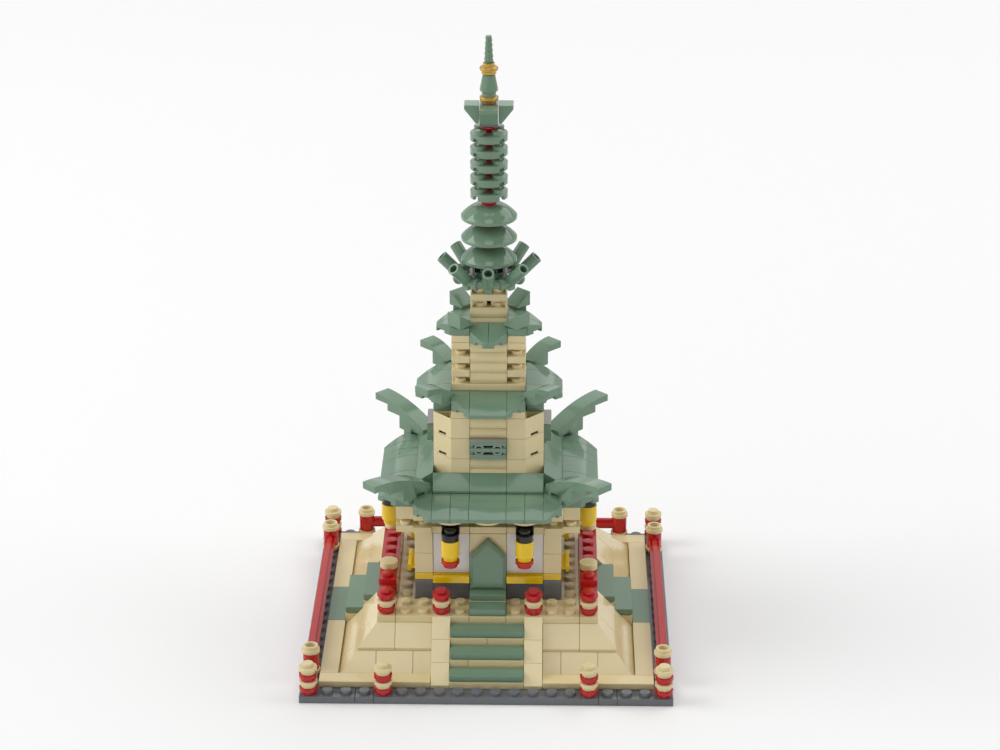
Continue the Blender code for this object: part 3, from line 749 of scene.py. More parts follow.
def makePlatformPosts():
    reds, tans = [], []
    y = platform["rows"][0]
    for x in platform["posts"]:
        reds += [placed(roundPlate, x, y, 8), placed(roundPlate, x, y, 10), placed(stud, x, y, 11)]
        tans.append(placed(roundPlate, x, y, 9))
    finishPiece("platformPostReds", reds, plastic["red"],
                ["platform_post_left", "platform_post_inner_left", "platform_post_inner_right",
                 "platform_post_right"])
    finishPiece("platformPostTans", tans, plastic["tan"], [])


handrail = {"row": 5.5, "tiles": (-2.5, 2.5), "bareSpots": (1, 6),
            "tile": ((0, 0), (3.7, 0), (3.7, 0.35), (3.95, 0.35), (3.95, 3.18), (0, 3.18)),
            "foot": ((0, 0), (3.25, 0), (3.25, 1.25), (3.95, 1.25), (3.95, 3.18), (3.25, 3.22), (3.25, 4.4),
                     (3.95, 4.4), (3.95, 6.38), (0, 6.38))}


def makeHandrails():
    roundTile, foot = turnedPart(handrail["tile"], 32, 0.14), turnedPart(handrail["foot"], 32, 0.12)
    ends = platform["handrailEnds"]
    tiles = []
    for x, word in ((-handrail["row"], "left"), (handrail["row"], "right")):
        parts = [brickStack([(x - 0.5, x + 0.5, -4, 4, 10, 11)])]
        parts += studs([(x, ends[0] + step, 11) for step in range(8) if step not in handrail["bareSpots"]])
        parts += [placed(foot, x, y, 8) for y in ends]
        tiles += [placed(roundTile, x, y, 11) for y in handrail["tiles"]]
        finishPiece("handrail" + word.capitalize(), parts, plastic["red"], ["handrail_" + word])
    finishPiece("handrailTiles", tiles, plastic["tan"], [])
    clearAway([roundTile, foot])


makeCornerPosts()
makeRail("backRail", "fence_back", 0)
makeRail("leftRail", "fence_left", 90)
makeRail("rightRail", "fence_right", 270)
makePlatformPosts()
makeHandrails()
print("posts and rails built")

# ground storey

ground = {"wall": 31.9, "back": 24.2, "railInner": 33.9, "railOuter": 35.55, "webLow": 1.25, "webHigh": 2.2,
          "slack": 0.05, "ledgeEdge": 0.18, "panelInset": 0.25}


def makeLedge(x0, x1):  # a plate with a rail along its outer edge, held by a thin web
    back, wall, inner, outer = ground["back"], ground["wall"], ground["railInner"], ground["railOuter"]
    low, high = ground["slack"], grid["plate"] - ground["slack"]
    webLow, webHigh = ground["webLow"], ground["webHigh"]
    outline = ((back, low), (wall, low), (wall, webLow), (inner, webLow), (inner, low), (outer, low),
               (outer, high), (inner, high), (inner, webHigh), (wall, webHigh), (wall, high), (back, high))
    start = x0 * grid["stud"] + grid["joint"]
    length = (x1 - x0) * grid["stud"] - 2 * grid["joint"]
    return prismPart([Vector((start, -y, plates(11, z))) for y, z in outline], (length, 0, 0),
                     ground["ledgeEdge"])


def makeGroundStorey():
    foundation = [(-3, 3, -3, 3, 8, 11)]
    for y0, y1 in ((-4, -3), (3, 4)):
        foundation += [(-4, -3, y0, y1, 8, 11), (-3, -1, y0, y1, 8, 11), (-1, 1, y0, y1, 8, 11),
                       (1, 3, y0, y1, 8, 11), (3, 4, y0, y1, 8, 11)]
    for x0, x1 in ((-4, -3), (3, 4)):
        foundation += [(x0, x1, -3, -1, 8, 11), (x0, x1, -1, 1, 8, 11), (x0, x1, 1, 3, 8, 11)]
    finishPiece("foundationBricks", [brickStack(foundation)], plastic["darkGrey"],
                ["foundation_course"])

    side = [makeLedge(-3, -1), makeLedge(1, 3), brickStack([(-4, -3, -4, -3, 11, 12)])]
    bands = turned(side, *quarters)
    clearAway(side)
    bands.append(brickStack([(-3, 3, -3, 3, 11, 12)]))
    finishPiece("ledgeBand", bands, plastic["yellow"], ["ledge_band"])

    column = brickStack([(-4, -3, -4, -3, 12, 15), (-4, -3, -4, -3, 15, 18)])
    middle = brickStack([(-1, 1, -4, -3, 11, 12), (-1, 1, -4, -3, 12, 15), (-1, 1, -4, -3, 15, 18)])
    walls = turned([column, middle], *quarters)
    walls.append(brickStack([(-3, 3, -3, 3, 12, 18)]))
    clearAway([column, middle])
    finishPiece("wallBricks", walls, plastic["tan"],
                ["wall_front", "wall_back", "wall_left", "wall_right"])

    inset = ground["panelInset"] / grid["stud"]
    panel = brickStack([(-3, -1, -4 + inset, -3.02, 12, 18), (1, 3, -4 + inset, -3.02, 12, 18)])
    finishPiece("whitePanels", turned([panel], *quarters), plastic["white"], [])
    clearAway([panel])


eaveBeam = {"face": -3.98, "back": -3.7, "cornerStep": 0.12, "frontHalf": 3.1, "gap": 0.05, "inset": 0.02,
            "discRow": -5.02,
            "disc": ((0, 0), (2.5, 0), (5.0, 0.7), (6.8, 1.6), (7.6, 2.4), (7.85, 3.1), (0, 3.1))}


def makeEaveBeam():
    face, back, step, gap = eaveBeam["face"], eaveBeam["back"], eaveBeam["cornerStep"], eaveBeam["gap"]
    reach, inset = eaveBeam["frontHalf"], eaveBeam["inset"]
    beam = brickStack([(-reach, -1, face, -3, 18, 19), (-1, 1, face, -3, 18, 19),
                       (1, reach, face, -3, 18, 19), (-reach, -1 - inset, back, -3, 19, 22),
                       (1 + inset, reach, back, -3, 19, 22)])
    nearWidths, farWidths = ((-4 - gap, -3 - gap), (3 + gap, 4 + gap)), ((-5, -4 - gap), (4 + gap, 5))
    near = brickStack([(x0, x1, -4 - step, -3, z0, z1) for x0, x1 in nearWidths
                       for z0, z1 in ((18, 19), (20, 21), (21, 22))])
    far = brickStack([(x0, x1, -4 + step, -3, z0, z1) for x0, x1 in farWidths
                      for z0, z1 in ((18, 19), (20, 22))])
    front = [beam, near, far] + studs([(side * x, -3.5, 19) for side in (-1, 1) for x in (3.5, 4.5)])
    parts = turned(front, 0, 180)
    side = brickStack([(-3, -1, face, -3, 18, 19), (-1, 1, face, -3, 18, 19), (1, 3, face, -3, 18, 19),
                       (-3, 3, back, -3, 19, 22)])
    parts += turned([side], 90, 270)
    parts.append(brickStack([(-3, 3, -3, 3, 18, 22)]))
    clearAway(front + [side])
    disc = turnedPart(eaveBeam["disc"], 48)
    parts += [placed(disc, x, eaveBeam["discRow"], 21) for x in (-2, 0, 2)]
    clearAway([disc])
    finishPiece("eaveBeamBricks", parts, plastic["tan"], ["eave_beam"])


door = {"half": 7.9, "low": 32.1, "shoulder": 48.0, "peak": 56.0, "back": -32.3, "thick": 2.3, "rim": 1.5,
        "crown": 0.9, "edge": 0.1}


def makeDoor():
    half, shoulder, face = door["half"], door["shoulder"], door["back"] - door["thick"]
    outline = ((-half, door["low"]), (half, door["low"]), (half, shoulder), (0, door["peak"]),
               (-half, shoulder))
    panel = prismPart([Vector((x, face, z)) for x, z in outline], (0, door["thick"], 0), 0)
    bpy.ops.object.mode_set(mode="EDIT")
    pick(lambda f: f.normal.y < -0.9, "FACE")
    bpy.ops.mesh.inset(thickness=door["rim"], depth=0)
    bpy.ops.transform.translate(value=(0, -door["crown"], 0))
    leaveEdit()
    softenEdges(panel, door["edge"], 2, 12)
    finishPiece("doorPanel", [panel], plastic["green"], ["door_panel"])
    treads = tileStack([(-1, 1, -6, -5, 8, 9), (-1, 1, -5, -4.02, 9, 10)])
    finishPiece("doorTreads", treads, plastic["green"], ["door_steps"])
    riser = brickStack([(-1, 1, -5, -4.02, 8, 9.03)])
    finishPiece("doorRiser", [riser], plastic["tan"], [])


lanterns = {"front": ((-2, -5.5), (2, -5.5)), "side": ((-5.45, -1), (5.45, -1), (-5.45, 1), (5.45, 1)),
            "nodes": ("front_left", "front_right", "side_front_left", "side_front_right", "side_back_left",
                      "side_back_right"),
            "barrel": ((0, 0), (3.1, 0), (3.1, 0.95), (3.3, 1.05), (3.3, 1.95), (3.95, 2.2), (3.95, 9.5),
                       (0, 9.55)),
            "cap": ((0, 0), (3.75, 0), (3.75, 1.9), (3.9, 2.1), (3.9, 3.15), (0, 3.15)),
            "holderNear": 0.55, "holderFar": 1.5}


def makeLanterns():
    barrel, cap = turnedPart(lanterns["barrel"], 40, 0.12), turnedPart(lanterns["cap"], 40, 0.14)
    places = lanterns["front"] + lanterns["side"]
    finishPiece("lanternBarrels", [placed(barrel, x, y, 16) for x, y in places], plastic["yellow"],
                ["lantern_" + word for word in lanterns["nodes"]])
    caps = [placed(cap, x, y, 19) for x, y in places] + studs([(x, y, 20) for x, y in places])
    near, far = lanterns["holderNear"], lanterns["holderFar"]
    holders = [(x - 0.5, x + 0.5, y + near, y + far, 19, 21) for x, y in lanterns["front"]]
    holders += [(x - far, x - near, y - 0.5, y + 0.5, 19, 21) if x > 0 else
                (x + near, x + far, y - 0.5, y + 0.5, 19, 21) for x, y in lanterns["side"]]
    caps.append(brickStack(holders))
    finishPiece("lanternCaps", caps, plastic["black"], [])
    finishPiece("lanternFeet", [placed(roundPlate, x, y, 15) for x, y in lanterns["front"]],
                plastic["red"], [])
    clearAway([barrel, cap])


makeGroundStorey()
makeEaveBeam()
makeDoor()
makeLanterns()
print("ground storey, door and lanterns built")

# roofs

roofs = {"fall": 4.7, "curve": 2.2, "gap": 0.05, "lift": 0.03, "notchHeight": 1.7, "notchSink": 0.2,
         "notchDepth": 4.4, "finSteps": 14, "finEdge": 0.16}


def eaveBlock(x0, x1, yBack, yFront, low, high, cuts=()):  # one curved slope, facing the front
    gap = roofs["gap"]
    return curvedPart(at(x0, yFront, low) + Vector((gap, 0, roofs["lift"])),
                      at(x1, yBack, high) - Vector((gap, gap, 0)), roofs["fall"], roofs["curve"], cuts)


def eave(seams, yBack, yFront, low, high):  # the straight slopes of one side
    return [eaveBlock(x0, x1, yBack, yFront, low, high) for x0, x1 in zip(seams, seams[1:])]


def wedge(side, edge, clip, levels, notch=(0.27, 0.69)):  # the clipped end of an eave, with its notch
    x0, x1 = sorted((side * edge[0], side * edge[1]))
    yBack, yFront, low, high = levels
    xClip, yStart, yEnd = clip
    corner, ending = at(side * edge[1], yStart, low), at(side * xClip, yEnd, low)
    along = ending - corner
    outward = (Vector((-along.y, along.x, 0)) * side).normalized()
    cuts = [(corner, outward)]
    if yEnd > yFront:
        cuts.append((ending, Vector((0, -1, 0))))
    part = eaveBlock(x0, x1, yBack, yFront, low, high, cuts)
    middle = corner + along * (notch[0] + notch[1]) / 2
    height = roofs["notchHeight"]
    cutter = turnedBlock(middle + Vector((0, 0, height / 2 - roofs["notchSink"])),
                         (along.length * (notch[1] - notch[0]), roofs["notchDepth"], height),
                         math.atan2(along.y, along.x))
    return cutAway(part, cutter)


def makeFin(fin):  # an upturned corner, drawn along its curved top and back along its stepped underside
    steps, half = roofs["finSteps"], grid["half"]
    inner, length, endHeight, tipHeight = fin["inner"], fin["length"], fin["endHeight"], fin["tipHeight"]
    points = []
    for step in range(steps + 1):
        share = step / steps
        height = tipHeight - (tipHeight - endHeight) * (1 - share) ** 2
        points.append(Vector((-half, -inner - length * share, plates(height))))
    for start, height in fin["underside"]:
        points.append(Vector((-half, points[-1].y, plates(height))))
        points.append(Vector((-half, -inner - start, plates(height))))
    return prismPart(points, (2 * half, 0, 0), roofs["finEdge"])


# Levels are the back row, front row, bottom and top of a slope. The clip gives the slanted cut at its end:
# how far out it ends, and the rows where it starts and ends.
finOne = {"inner": 38.98, "length": 32.0, "endHeight": 25.3, "tipHeight": 28,
          "underside": ((24, 27), (16, 26), (13, 24.1), (8, 23.3), (8, 24.4), (3.5, 24.4), (3.5, 23.2),
                        (0, 23.2)),
          "turns": {"front_left": -45, "front_right": 45, "back_right": 135, "back_left": 225}}
roofOne = {"seams": (-3, -2, -1, 1, 2, 3), "levels": (-4, -6, 22, 24), "wedgeEdge": (3, 4),
           "clip": (3.2, -5, -6), "upperSeams": (-3, -1, 1, 3), "upperGap": 0.06, "upperInset": 0.02,
           "upperDrop": 0.05, "upperPull": 7.5, "upperEdge": 0.3}


def makeRoofOne():
    side = eave(roofOne["seams"], *roofOne["levels"])
    side += [wedge(s, roofOne["wedgeEdge"], roofOne["clip"], roofOne["levels"]) for s in (-1, 1)]
    gap, seams = roofOne["upperGap"], roofOne["upperSeams"]
    for x0, x1 in zip(seams, seams[1:]):
        low = at(x0, -4, 24) + Vector((gap, roofOne["upperInset"], roofs["lift"]))
        high = at(x1, -3, 26) - Vector((gap, 0, roofOne["upperDrop"]))
        side.append(slopedPart(low, high, terrace["lip"], [(1, low.y, roofOne["upperPull"])],
                               roofOne["upperEdge"]))
    parts = turned(side, *quarters)
    corner = brickStack([(-4, -3, -4, -3, 22, 24)])
    parts += turned([corner], *quarters)
    clearAway(side + [corner])
    parts.append(brickStack([(-4, 4, -3, 3, 22, 24), (-3, 3, -4, -3, 22, 24), (-3, 3, 3, 4, 22, 24),
                             (-3, 3, -3, 3, 24, 25)]))
    finishPiece("roofOneSlopes", parts, plastic["green"], ["roof_1"])
    fin = makeFin(finOne)
    for word, degrees in finOne["turns"].items():
        name = "".join(part.capitalize() for part in word.split("_"))
        finishPiece("roofOneFin" + name, [placed(fin, turn=degrees)], plastic["green"],
                    ["roof_1_fin_" + word])
    clearAway([fin])


finTwo = {"inner": 24.3, "length": 16.0, "endHeight": 37.2, "tipHeight": 39,
          "underside": ((8, 38), (0, 36.2))}
roofTwo = {"seams": (-1, 1), "levels": (-2, -4, 35, 37), "wedgeEdge": (1, 2), "clip": (1.0, -2.8, -4),
           "blockGap": 0.05}


def makeRoofTwo():
    side = eave(roofTwo["seams"], *roofTwo["levels"])
    side += [wedge(s, roofTwo["wedgeEdge"], roofTwo["clip"], roofTwo["levels"]) for s in (-1, 1)]
    parts = turned(side, *quarters)
    inner = 2 + roofTwo["blockGap"]
    parts.append(brickStack([(-2, 2, -2, 2, 35, 37), (-3, -inner, -2, 2, 34, 36),
                             (inner, 3, -2, 2, 34, 36)]))
    fin = makeFin(finTwo)
    parts += turned([fin], *diagonals)
    clearAway(side + [fin])
    finishPiece("roofTwoSlopes", parts, plastic["green"], ["roof_2"])


roofThree = {"levels": (-1, -3, 44, 46), "wedgeEdge": (0, 1), "clip": (0.28, -2.1, -2.86),
             "notch": (0.4, 0.93), "cornerFront": -21.0, "cornerBack": -13.0, "cornerLow": 46.03,
             "cornerHigh": 48, "cornerLip": 5.9, "cornerDrop": 5.0, "cornerEdge": 0.25}


def makeRoofThree():
    side = [wedge(s, roofThree["wedgeEdge"], roofThree["clip"], roofThree["levels"], roofThree["notch"])
            for s in (-1, 1)]
    parts = turned(side, *quarters)
    clearAway(side)
    cornerPlate = brickStack([(-2, -1, -2, -1, 45, 46)])
    half = grid["half"]
    low = Vector((-half, roofThree["cornerFront"], plates(roofThree["cornerLow"])))
    high = Vector((half, roofThree["cornerBack"], plates(roofThree["cornerHigh"])))
    slope = slopedPart(low, high, roofThree["cornerLip"], [(1, high.y, 0)], roofThree["cornerEdge"])
    bpy.context.view_layer.objects.active = slope
    bpy.ops.object.mode_set(mode="EDIT")
    pick(lambda v: v.co.y > high.y - 0.5 and v.co.z > low.z + 2.0)  # the upper edge at the back
    bpy.ops.transform.translate(value=(0, 0, -roofThree["cornerDrop"]))
    leaveEdit()
    parts += turned([cornerPlate], *quarters) + turned([slope], *diagonals)
    clearAway([cornerPlate, slope])
    parts.append(brickStack([(-1, 1, -1, 1, 44, 45)]))
    finishPiece("roofThreeSlopes", parts, plastic["green"], ["roof_3"])


makeRoofOne()
makeRoofTwo()
makeRoofThree()
print("roofs built")

# upper storeys

# The painted shade values place black blocks in the slots and the corner hollows, so these read dark.
storeyTwo = {"slotWidth": 4.7, "slotHeight": 1.35, "slotRise": 0.45, "slotDepth": 6.0, "paintedShadeInset": 0.7,
             "paintedShadeGap": 0.04, "hollow": 6.0, "hollowReach": (16.6, 23.2), "paintedShadeReach": (16.8, 22.9),
             "paintedShadeLift": 0.1, "paintedShadeThick": 3.6, "outerGap": 0.08, "innerGap": 0.04, "brickTall": 9.52,
             "coreHalf": 1.9, "coreTop": 33.9}


def cornerTriangle(reach, height):  # the open corner of the topmost bricks
    near, far = reach
    return [Vector((-far, -near, height)), Vector((-near, -far, height)), Vector((-near, -near, height))]


def slotBlock(z, start, end, slack):  # a block in a slot, from one depth to another behind the face
    height = storeyTwo["slotHeight"]
    face = at(-2.5, -2.5, z) + Vector((0, 0, storeyTwo["slotRise"] + height / 2))
    inward = Vector((1, 1, 0)).normalized() * (start + end) / 2
    return turnedBlock(face + inward, (storeyTwo["slotWidth"] - slack, end - start, height - slack),
                       math.radians(-45))


def makeStoreyTwo():
    outer, inner, depth = storeyTwo["outerGap"], -storeyTwo["innerGap"], storeyTwo["slotDepth"]
    corners = []
    for z in (25, 28, 31):
        outline = [at(x, y, z) for x, y in ((-3, -1), (-3, -2), (-2, -3), (-1, -3), (-1, -1))]
        outline = [p + Vector((outer if p.x < -20 else inner, outer if p.y < -20 else inner, -inner))
                   for p in outline]
        corners.append(prismPart(outline, (0, 0, storeyTwo["brickTall"])))
        if z > 25:
            cutAway(corners[-1], slotBlock(z, -depth, depth, 0))
    floor = plates(34, -storeyTwo["hollow"])
    cutAway(corners[-1], prismPart(cornerTriangle(storeyTwo["hollowReach"], floor), (0, 0, 12), 0))
    side = corners + [placed(logFace, 0, -3, z) for z in (25, 26.5, 31, 32.5)]
    parts = turned(side, *quarters)
    clearAway(side)
    half = storeyTwo["coreHalf"]
    parts.append(brickStack([(-half, half, -half, half, 25, storeyTwo["coreTop"]), (-2, 2, -3, -2, 34, 35),
                             (-2, 2, 2, 3, 34, 35), (-2, 2, -2, 2, 34, 35)]))
    finishPiece("storeyTwoBricks", parts, plastic["tan"], ["storey_2"])
    # Painted shade: black blocks in the corner hollows and the slots, where only shade falls.
    paintedShades = [prismPart(cornerTriangle(storeyTwo["paintedShadeReach"], floor + storeyTwo["paintedShadeLift"]),
                        (0, 0, storeyTwo["paintedShadeThick"]), 0)]
    paintedShades += [slotBlock(z, storeyTwo["paintedShadeInset"], depth - storeyTwo["paintedShadeLift"], storeyTwo["paintedShadeGap"])
               for z in (28, 31)]
    finishPiece("storeyTwoPaintedShade", turned(paintedShades, *quarters), plastic["black"], [])
    clearAway(paintedShades)


window = {"low": 28.5, "half": 7.92, "front": -27.2, "barBack": -25.3, "endBack": -23.9, "endInset": 0.65,
          "bars": ((0.0, 1.85), (3.08, 4.92), (6.15, 7.9)), "ends": (6.45, 7.88), "endHeights": (0.3, 7.6),
          "bracketHalf": 6.4, "bracketFront": -25.2, "bracketBack": -22.6, "bracketDrop": 1.5,
          "bracketGap": 0.05, "bracketEdge": 0.12, "lidHalf": 7.9, "lidFront": -27.0, "lidLow": 8.0,
          "lidGap": 0.02, "lidEdge": 0.05, "barEdge": 0.14, "endEdge": 0.04,
          "ring": ((1.75, 0), (2.42, 0), (2.42, 1.6), (1.75, 1.6), (1.75, 0)), "ringHeight": 4.0,
          "ringFace": -25.25, "paintedShadeHalf": 7.8, "paintedShadeFaces": (-25.34, -25.22), "paintedShadeHeights": (0.1, 7.7)}


def makeWindows():  # three bars in front of a bracket with two rings, once on each side
    low, top, half = plates(window["low"], 0.05), plates(31), window["half"]
    front, back = window["front"], window["barBack"]
    bars = [boxPart((-half, front, low + z0), (half, back, low + z1), window["barEdge"])
            for z0, z1 in window["bars"]]
    (x0, x1), (z0, z1) = window["ends"], window["endHeights"]
    end = ((-x1, front + window["endInset"], low + z0), (-x0, window["endBack"], low + z1))
    bars += mirroredBoxes([end], window["endEdge"])
    finishPiece("grilleBars", turned(bars, *quarters), plastic["green"], [])
    half, lid, back = window["bracketHalf"], window["lidHalf"], window["bracketBack"]
    bracket = [boxPart((-half, window["bracketFront"], low - window["bracketDrop"]),
                       (half, back, top - window["bracketGap"]), window["bracketEdge"]),
               boxPart((-lid, window["lidFront"], low + window["lidLow"]),
                       (lid, back, top - window["lidGap"]), window["lidEdge"])]
    ring = turnedPart(window["ring"], 32)
    ring.data.transform(Matrix.Rotation(math.radians(90), 4, "X"))
    for x in (-grid["stud"] / 2, grid["stud"] / 2):
        copy = placed(ring)
        copy.data.transform(Matrix.Translation((x, window["ringFace"], low + window["ringHeight"])))
        bracket.append(copy)
    finishPiece("grilleBrackets", turned(bracket, *quarters), plastic["lightGrey"], [])
    # Painted shade: a black plate behind the bars, so the gaps between them read dark as in shade.
    half, (front, back), (z0, z1) = window["paintedShadeHalf"], window["paintedShadeFaces"], window["paintedShadeHeights"]
    shade = boxPart((-half, front, low + z0), (half, back, low + z1), 0.02)
    finishPiece("grillePaintedShade", turned([shade], *quarters), plastic["black"], [])
    clearAway(bars + bracket + [ring, shade])


def makeStoreyThree():
    side = [placed(logFace, 0, -2, 38 + 1.5 * step) for step in range(4)]
    side.append(brickStack([(-2, -1, -2, -1, z, z + 1) for z in (39, 41, 43, 44)]))
    side += studs([(-1.5, -1.5, z) for z in (38, 40, 42)])
    parts = turned(side, *quarters)
    clearAway(side)
    parts.append(brickStack([(-2, 2, -2, 2, 37, 38), (-1.4, 1.4, -1.4, 1.4, 38, 44)]))
    finishPiece("storeyThreeBricks", parts, plastic["tan"], ["storey_3"])


tower = {"edge": 0.1, "plateHalf": 7.93, "plateGap": 0.04, "plateEdge": 0.25,
         "behindLogs": ((-7.9, -4.05, 144.1), (7.9, -0.03, 153.5)),
         "posts": (((-7.9, -7.6, 153.7), (-6.9, -0.1, 156.7)), ((-7.9, -7.4, 160.1), (-7.2, -0.1, 163.1))),
         "recess": (((-7.2, -5.4, 153.7), (-0.9, -0.05, 156.7)),),
         "topRecess": ((-7.2, -3.4, 160.1), (7.2, -0.05, 163.1)),
         "arch": ((-0.85, -2.2, 153.7), (0.85, -1.2, 156.4))}


def makeTower():
    edge = tower["edge"]
    front = [placed(logFace, 0, -1, z) for z in (45, 46.5)] + [boxPart(*tower["behindLogs"], edge)]
    front += mirroredBoxes(tower["posts"] + tower["recess"], edge) + [boxPart(*tower["topRecess"], edge)]
    parts = turned(front, 0, 180)
    # Painted shade: a black block behind the gap in the front, so the gap reads dark.
    arch = boxPart(*tower["arch"], edge)
    finishPiece("towerPaintedShade", turned([arch], 0, 180), plastic["black"], [])
    clearAway(front + [arch])
    half, gap = tower["plateHalf"], tower["plateGap"]
    parts.append(boxPart((-half, -half, plates(49, gap)), (half, half, plates(50, -gap)),
                         tower["plateEdge"]))
    parts += studs([(x, y, z) for x in (-0.5, 0.5) for y in (-0.5, 0.5) for z in (48, 50)])
    finishPiece("towerBricks", parts, plastic["tan"], ["top_tower"])


makeStoreyTwo()
makeWindows()
makeStoreyThree()
makeTower()
print("storeys built")

# crown, dishes, rings, cap and spire

crown = {"ringReach": 13.0, "ringHeight": 166.2, "barRadius": 1.6, "tubeRadius": 2.65, "holeRadius": 1.65,
         "tubeEnds": ((20.4, 174.3), (21.1, 174.3)), "collarRadius": 2.45, "collarWidth": 1.7,
         "tab": ((-1.6, -1.5, -3.4), (1.6, 1.0, -0.6)), "spokeStart": 5.5,
         "clip": ((-0.9, -10.6, 166.6), (0.9, -9.2, 172.2)),
         "hub": ((0, 163.3), (7.0, 163.3), (7.0, 164.2), (7.9, 164.2), (7.9, 166.2), (6.8, 166.4),
                 (6.8, 167.6), (7.6, 168.2), (7.6, 169.6), (0, 169.6)),
         # The shade entry is a black ring that paints the shade under the lowest dish.
         "shade": ((0, 169.65), (8.9, 169.65), (8.9, 172.3), (0, 172.3))}


def barBetween(start, end, radius, sides=20, hole=0.0, edge=0.12):  # a straight round bar or tube
    start, end = Vector(start), Vector(end)
    length = (end - start).length
    profile = [(0, 0), (radius, 0), (radius, length), (0, length)]
    if hole:
        floor = length - 5
        profile = [(0, 0), (radius, 0), (radius, length), (hole, length), (hole, floor), (0, floor)]
    part = turnedPart(profile, sides, edge)
    turn = (end - start).to_track_quat("Z", "Y").to_matrix().to_4x4()
    part.data.transform(Matrix.Translation(start) @ turn)
    return part


def makeCrown():
    reach, height = crown["ringReach"], crown["ringHeight"]
    angle = math.radians(22.5)
    half = reach * math.tan(angle)
    middle, corner = Vector((0, -reach, height)), Vector((half, -reach, height))
    bar = barBetween((-half, -reach, height), corner, crown["barRadius"])
    tabLow, tabHigh = crown["tab"]
    tab = boxPart(middle + Vector(tabLow), middle + Vector(tabHigh), 0.2)
    along = Vector((math.cos(angle), math.sin(angle), 0)) * crown["collarWidth"] / 2
    collar = barBetween(corner - along, corner + along, crown["collarRadius"], 24, 0, 0.25)
    side = [bar, tab, collar]
    parts = turned(side, *[45 * step for step in range(8)])
    clearAway(side)
    for order, (endReach, endHeight) in enumerate(crown["tubeEnds"]):
        tube = barBetween((0, -reach + 0.2, height + 0.3), (0, -endReach, endHeight),
                          crown["tubeRadius"], 28, crown["holeRadius"])
        parts += turned([tube], *[90 * step + 45 * order for step in range(4)])
        clearAway([tube])
    spoke = barBetween((0, -crown["spokeStart"], height - 0.2), (0, -reach + 1, height), crown["barRadius"])
    parts += turned([spoke], *diagonals)
    clearAway([spoke])
    parts.append(turnedPart(crown["hub"], 40, 0.15))
    finishPiece("crownRing", parts, plastic["green"], ["crown_ring"])
    clip = boxPart(*crown["clip"], 0.25)
    finishPiece("crownClips", turned([clip], *diagonals), plastic["lightGrey"], [])
    clearAway([clip])
    # Painted shade: a black ring under the lowest dish, where the green parts lie in shade.
    finishPiece("crownPaintedShade", [turnedPart(crown["shade"], 40, 0.1)], plastic["black"], [])


dish = {"radius": 12.0, "rims": (54, 57, 60), "height": 6.35, "rim": 1.5, "neck": 4.0, "round": 0.9,
        "under": ((0, 4.4), (3.6, 4.4), (6.0, 3.7), (8.4, 2.4), (10.2, 1.1), (11.3, 0.15), (11.8, 0.05),
                  (12.0, 0.25)),
        "steps": 12, "sides": 64, "edge": 0.12}


def makeDishes():
    radius, rim, height, steps = dish["radius"], dish["rim"], dish["height"], dish["steps"]
    profile = [*dish["under"], (radius, rim)]
    for step in range(1, steps + 1):
        share = step / steps
        rise = math.sin(share * math.pi / 2) ** dish["round"]
        profile.append((radius - (radius - dish["neck"]) * share, rim + (height - rim) * rise))
    shell = turnedPart(profile + [(0, height)], dish["sides"], dish["edge"])
    finishPiece("dishes", [placed(shell, 0, 0, rimHeight) for rimHeight in dish["rims"]], plastic["green"],
                ["dish_stack"])
    clearAway([shell])


core = {"foot": 4.0, "column": 3.0, "collar": 3.15, "rod": 1.55, "top": 3.9, "edge": 0.12}


def makeCore():  # the red column inside the dishes and rings
    foot, column, collar, rod, top = core["foot"], core["column"], core["collar"], core["rod"], core["top"]
    profile = [(0, plates(52.6)), (foot, plates(52.6)), (foot, plates(53.9)), (column, plates(54.6)),
               (column, plates(62)), (collar, plates(62, 0.2)), (collar, plates(63, -0.1)),
               (rod, plates(63, -0.05)), (rod, plates(72.2)), (top, plates(72.75)), (top, plates(73, -0.1)),
               (0, plates(73, -0.1))]
    finishPiece("redCore", [turnedPart(profile, 32, core["edge"])], plastic["red"], [])


rings = {"bases": (63, 65, 67, 69, 71), "notchReach": 7.2, "notchLong": 3.4, "notchWidth": 2.6,
         "notchHeight": 1.9, "sides": 56, "edge": 0.14,
         "plate": ((0, 0.9), (6.4, 0.9), (6.4, 0), (8.0, 0), (8.0, 3.1), (0, 3.1))}


def makeRings():
    plate = turnedPart(rings["plate"], rings["sides"], rings["edge"])
    reach, height = rings["notchReach"], rings["notchHeight"]
    for degrees in diagonals:
        angle = math.radians(degrees)
        place = (reach * math.cos(angle), reach * math.sin(angle), height / 2 - 0.1)
        cutAway(plate, turnedBlock(place, (rings["notchLong"], rings["notchWidth"], height), angle))
    parts = []
    for level in rings["bases"]:
        parts.append(placed(plate, 0, 0, level))
        parts += studs([(x, y, level + 1) for x in (-0.5, 0.5) for y in (-0.5, 0.5)])
    clearAway([plate])
    finishPiece("ringPlates", parts, plastic["green"], ["ring_stack"])


cap = {"low": 235.2, "lip": 241.5, "high": 243.1, "inner": 4.15, "lowReach": 5.5, "highReach": 10.35}


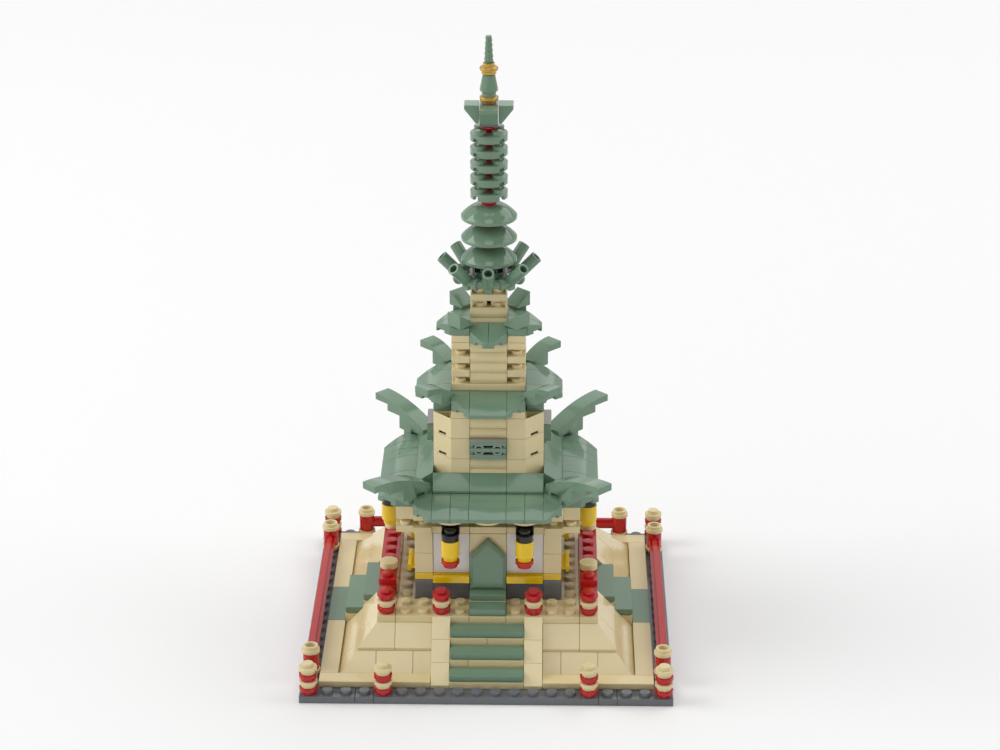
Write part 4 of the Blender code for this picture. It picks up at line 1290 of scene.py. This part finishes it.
def makeCap():
    half = grid["half"]
    brick = boxPart((-half, -half, plates(73, 0.05)), (half, half, plates(76, -0.05)), 0.2)
    finishPiece("capBrick", [brick], plastic["darkGrey"], [])
    inner, outer, low, high = cap["inner"], cap["highReach"], cap["low"], cap["high"]
    outline = ((inner, low), (cap["lowReach"], low), (outer, cap["lip"]), (outer, high), (inner, high))
    slope = prismPart([Vector((-half, -reach, height)) for reach, height in outline],
                      (2 * half, 0, 0), 0.2)
    finishPiece("capSlopes", turned([slope], *quarters), plastic["green"], ["flared_cap"])
    clearAway([slope])


spire = {"turns": 5.0, "groove": 0.2, "steps": 96, "sides": 24, "low": 261.0, "high": 272.28,
         "lowRadius": 2.1, "highRadius": 1.4,
         "lowerCollar": ((0, 76, 0), (3.1, 76, 0), (3.1, 76, 1.2), (3.95, 76, 1.5), (3.95, 77, -0.4),
                         (3.3, 77, 0), (0, 77, 0)),
         "upperCollar": ((0, 80, 0), (3.15, 80, 0), (3.2, 80, 1.3), (3.95, 80, 1.7), (3.95, 81, -0.5),
                         (3.3, 81, 0), (2.5, 81, 0), (2.5, 81, 1.6), (0, 81, 1.6)),
         "cone": ((0, 77, 0), (3.05, 77, 0), (3.05, 77.55, 0), (3.85, 77.7, 0), (3.85, 78.0, 0),
                  (2.65, 79.9, 0), (0, 79.9, 0))}  # radius, plates, and millimetres more


def makeSpire():
    lower, upper, cone = ([(radius, plates(count, extra)) for radius, count, extra in spire[name]]
                          for name in ("lowerCollar", "upperCollar", "cone"))
    finishPiece("goldCollars", [turnedPart(lower, 40, 0.2), turnedPart(upper, 40, 0.2)], plastic["gold"],
                ["spire"])
    conePart = turnedPart(cone, 40, 0.12)
    low, high, steps = spire["low"], spire["high"], spire["steps"]
    profile = [(0, low)]
    for step in range(steps + 1):
        share = step / steps
        profile.append((spire["lowRadius"] + (spire["highRadius"] - spire["lowRadius"]) * share,
                        low + (high - low) * share))
    horn = turnedPart(profile + [(0, high)], spire["sides"])
    for vertex in horn.data.vertices:  # the winding groove
        height = (vertex.co.z - low) / (high - low)
        if 0 < height < 1:
            winding = math.atan2(vertex.co.y, vertex.co.x) / (2 * math.pi) + height * spire["turns"]
            narrower = 1 - spire["groove"] * (winding % 1.0)
            vertex.co.x *= narrower
            vertex.co.y *= narrower
    finishPiece("spireCone", [conePart, horn], plastic["green"], [])


makeCrown()
makeDishes()
makeCore()
makeRings()
makeCap()
makeSpire()
print("crown and spire built")

# finish

clearAway(masters)
print("model finished")
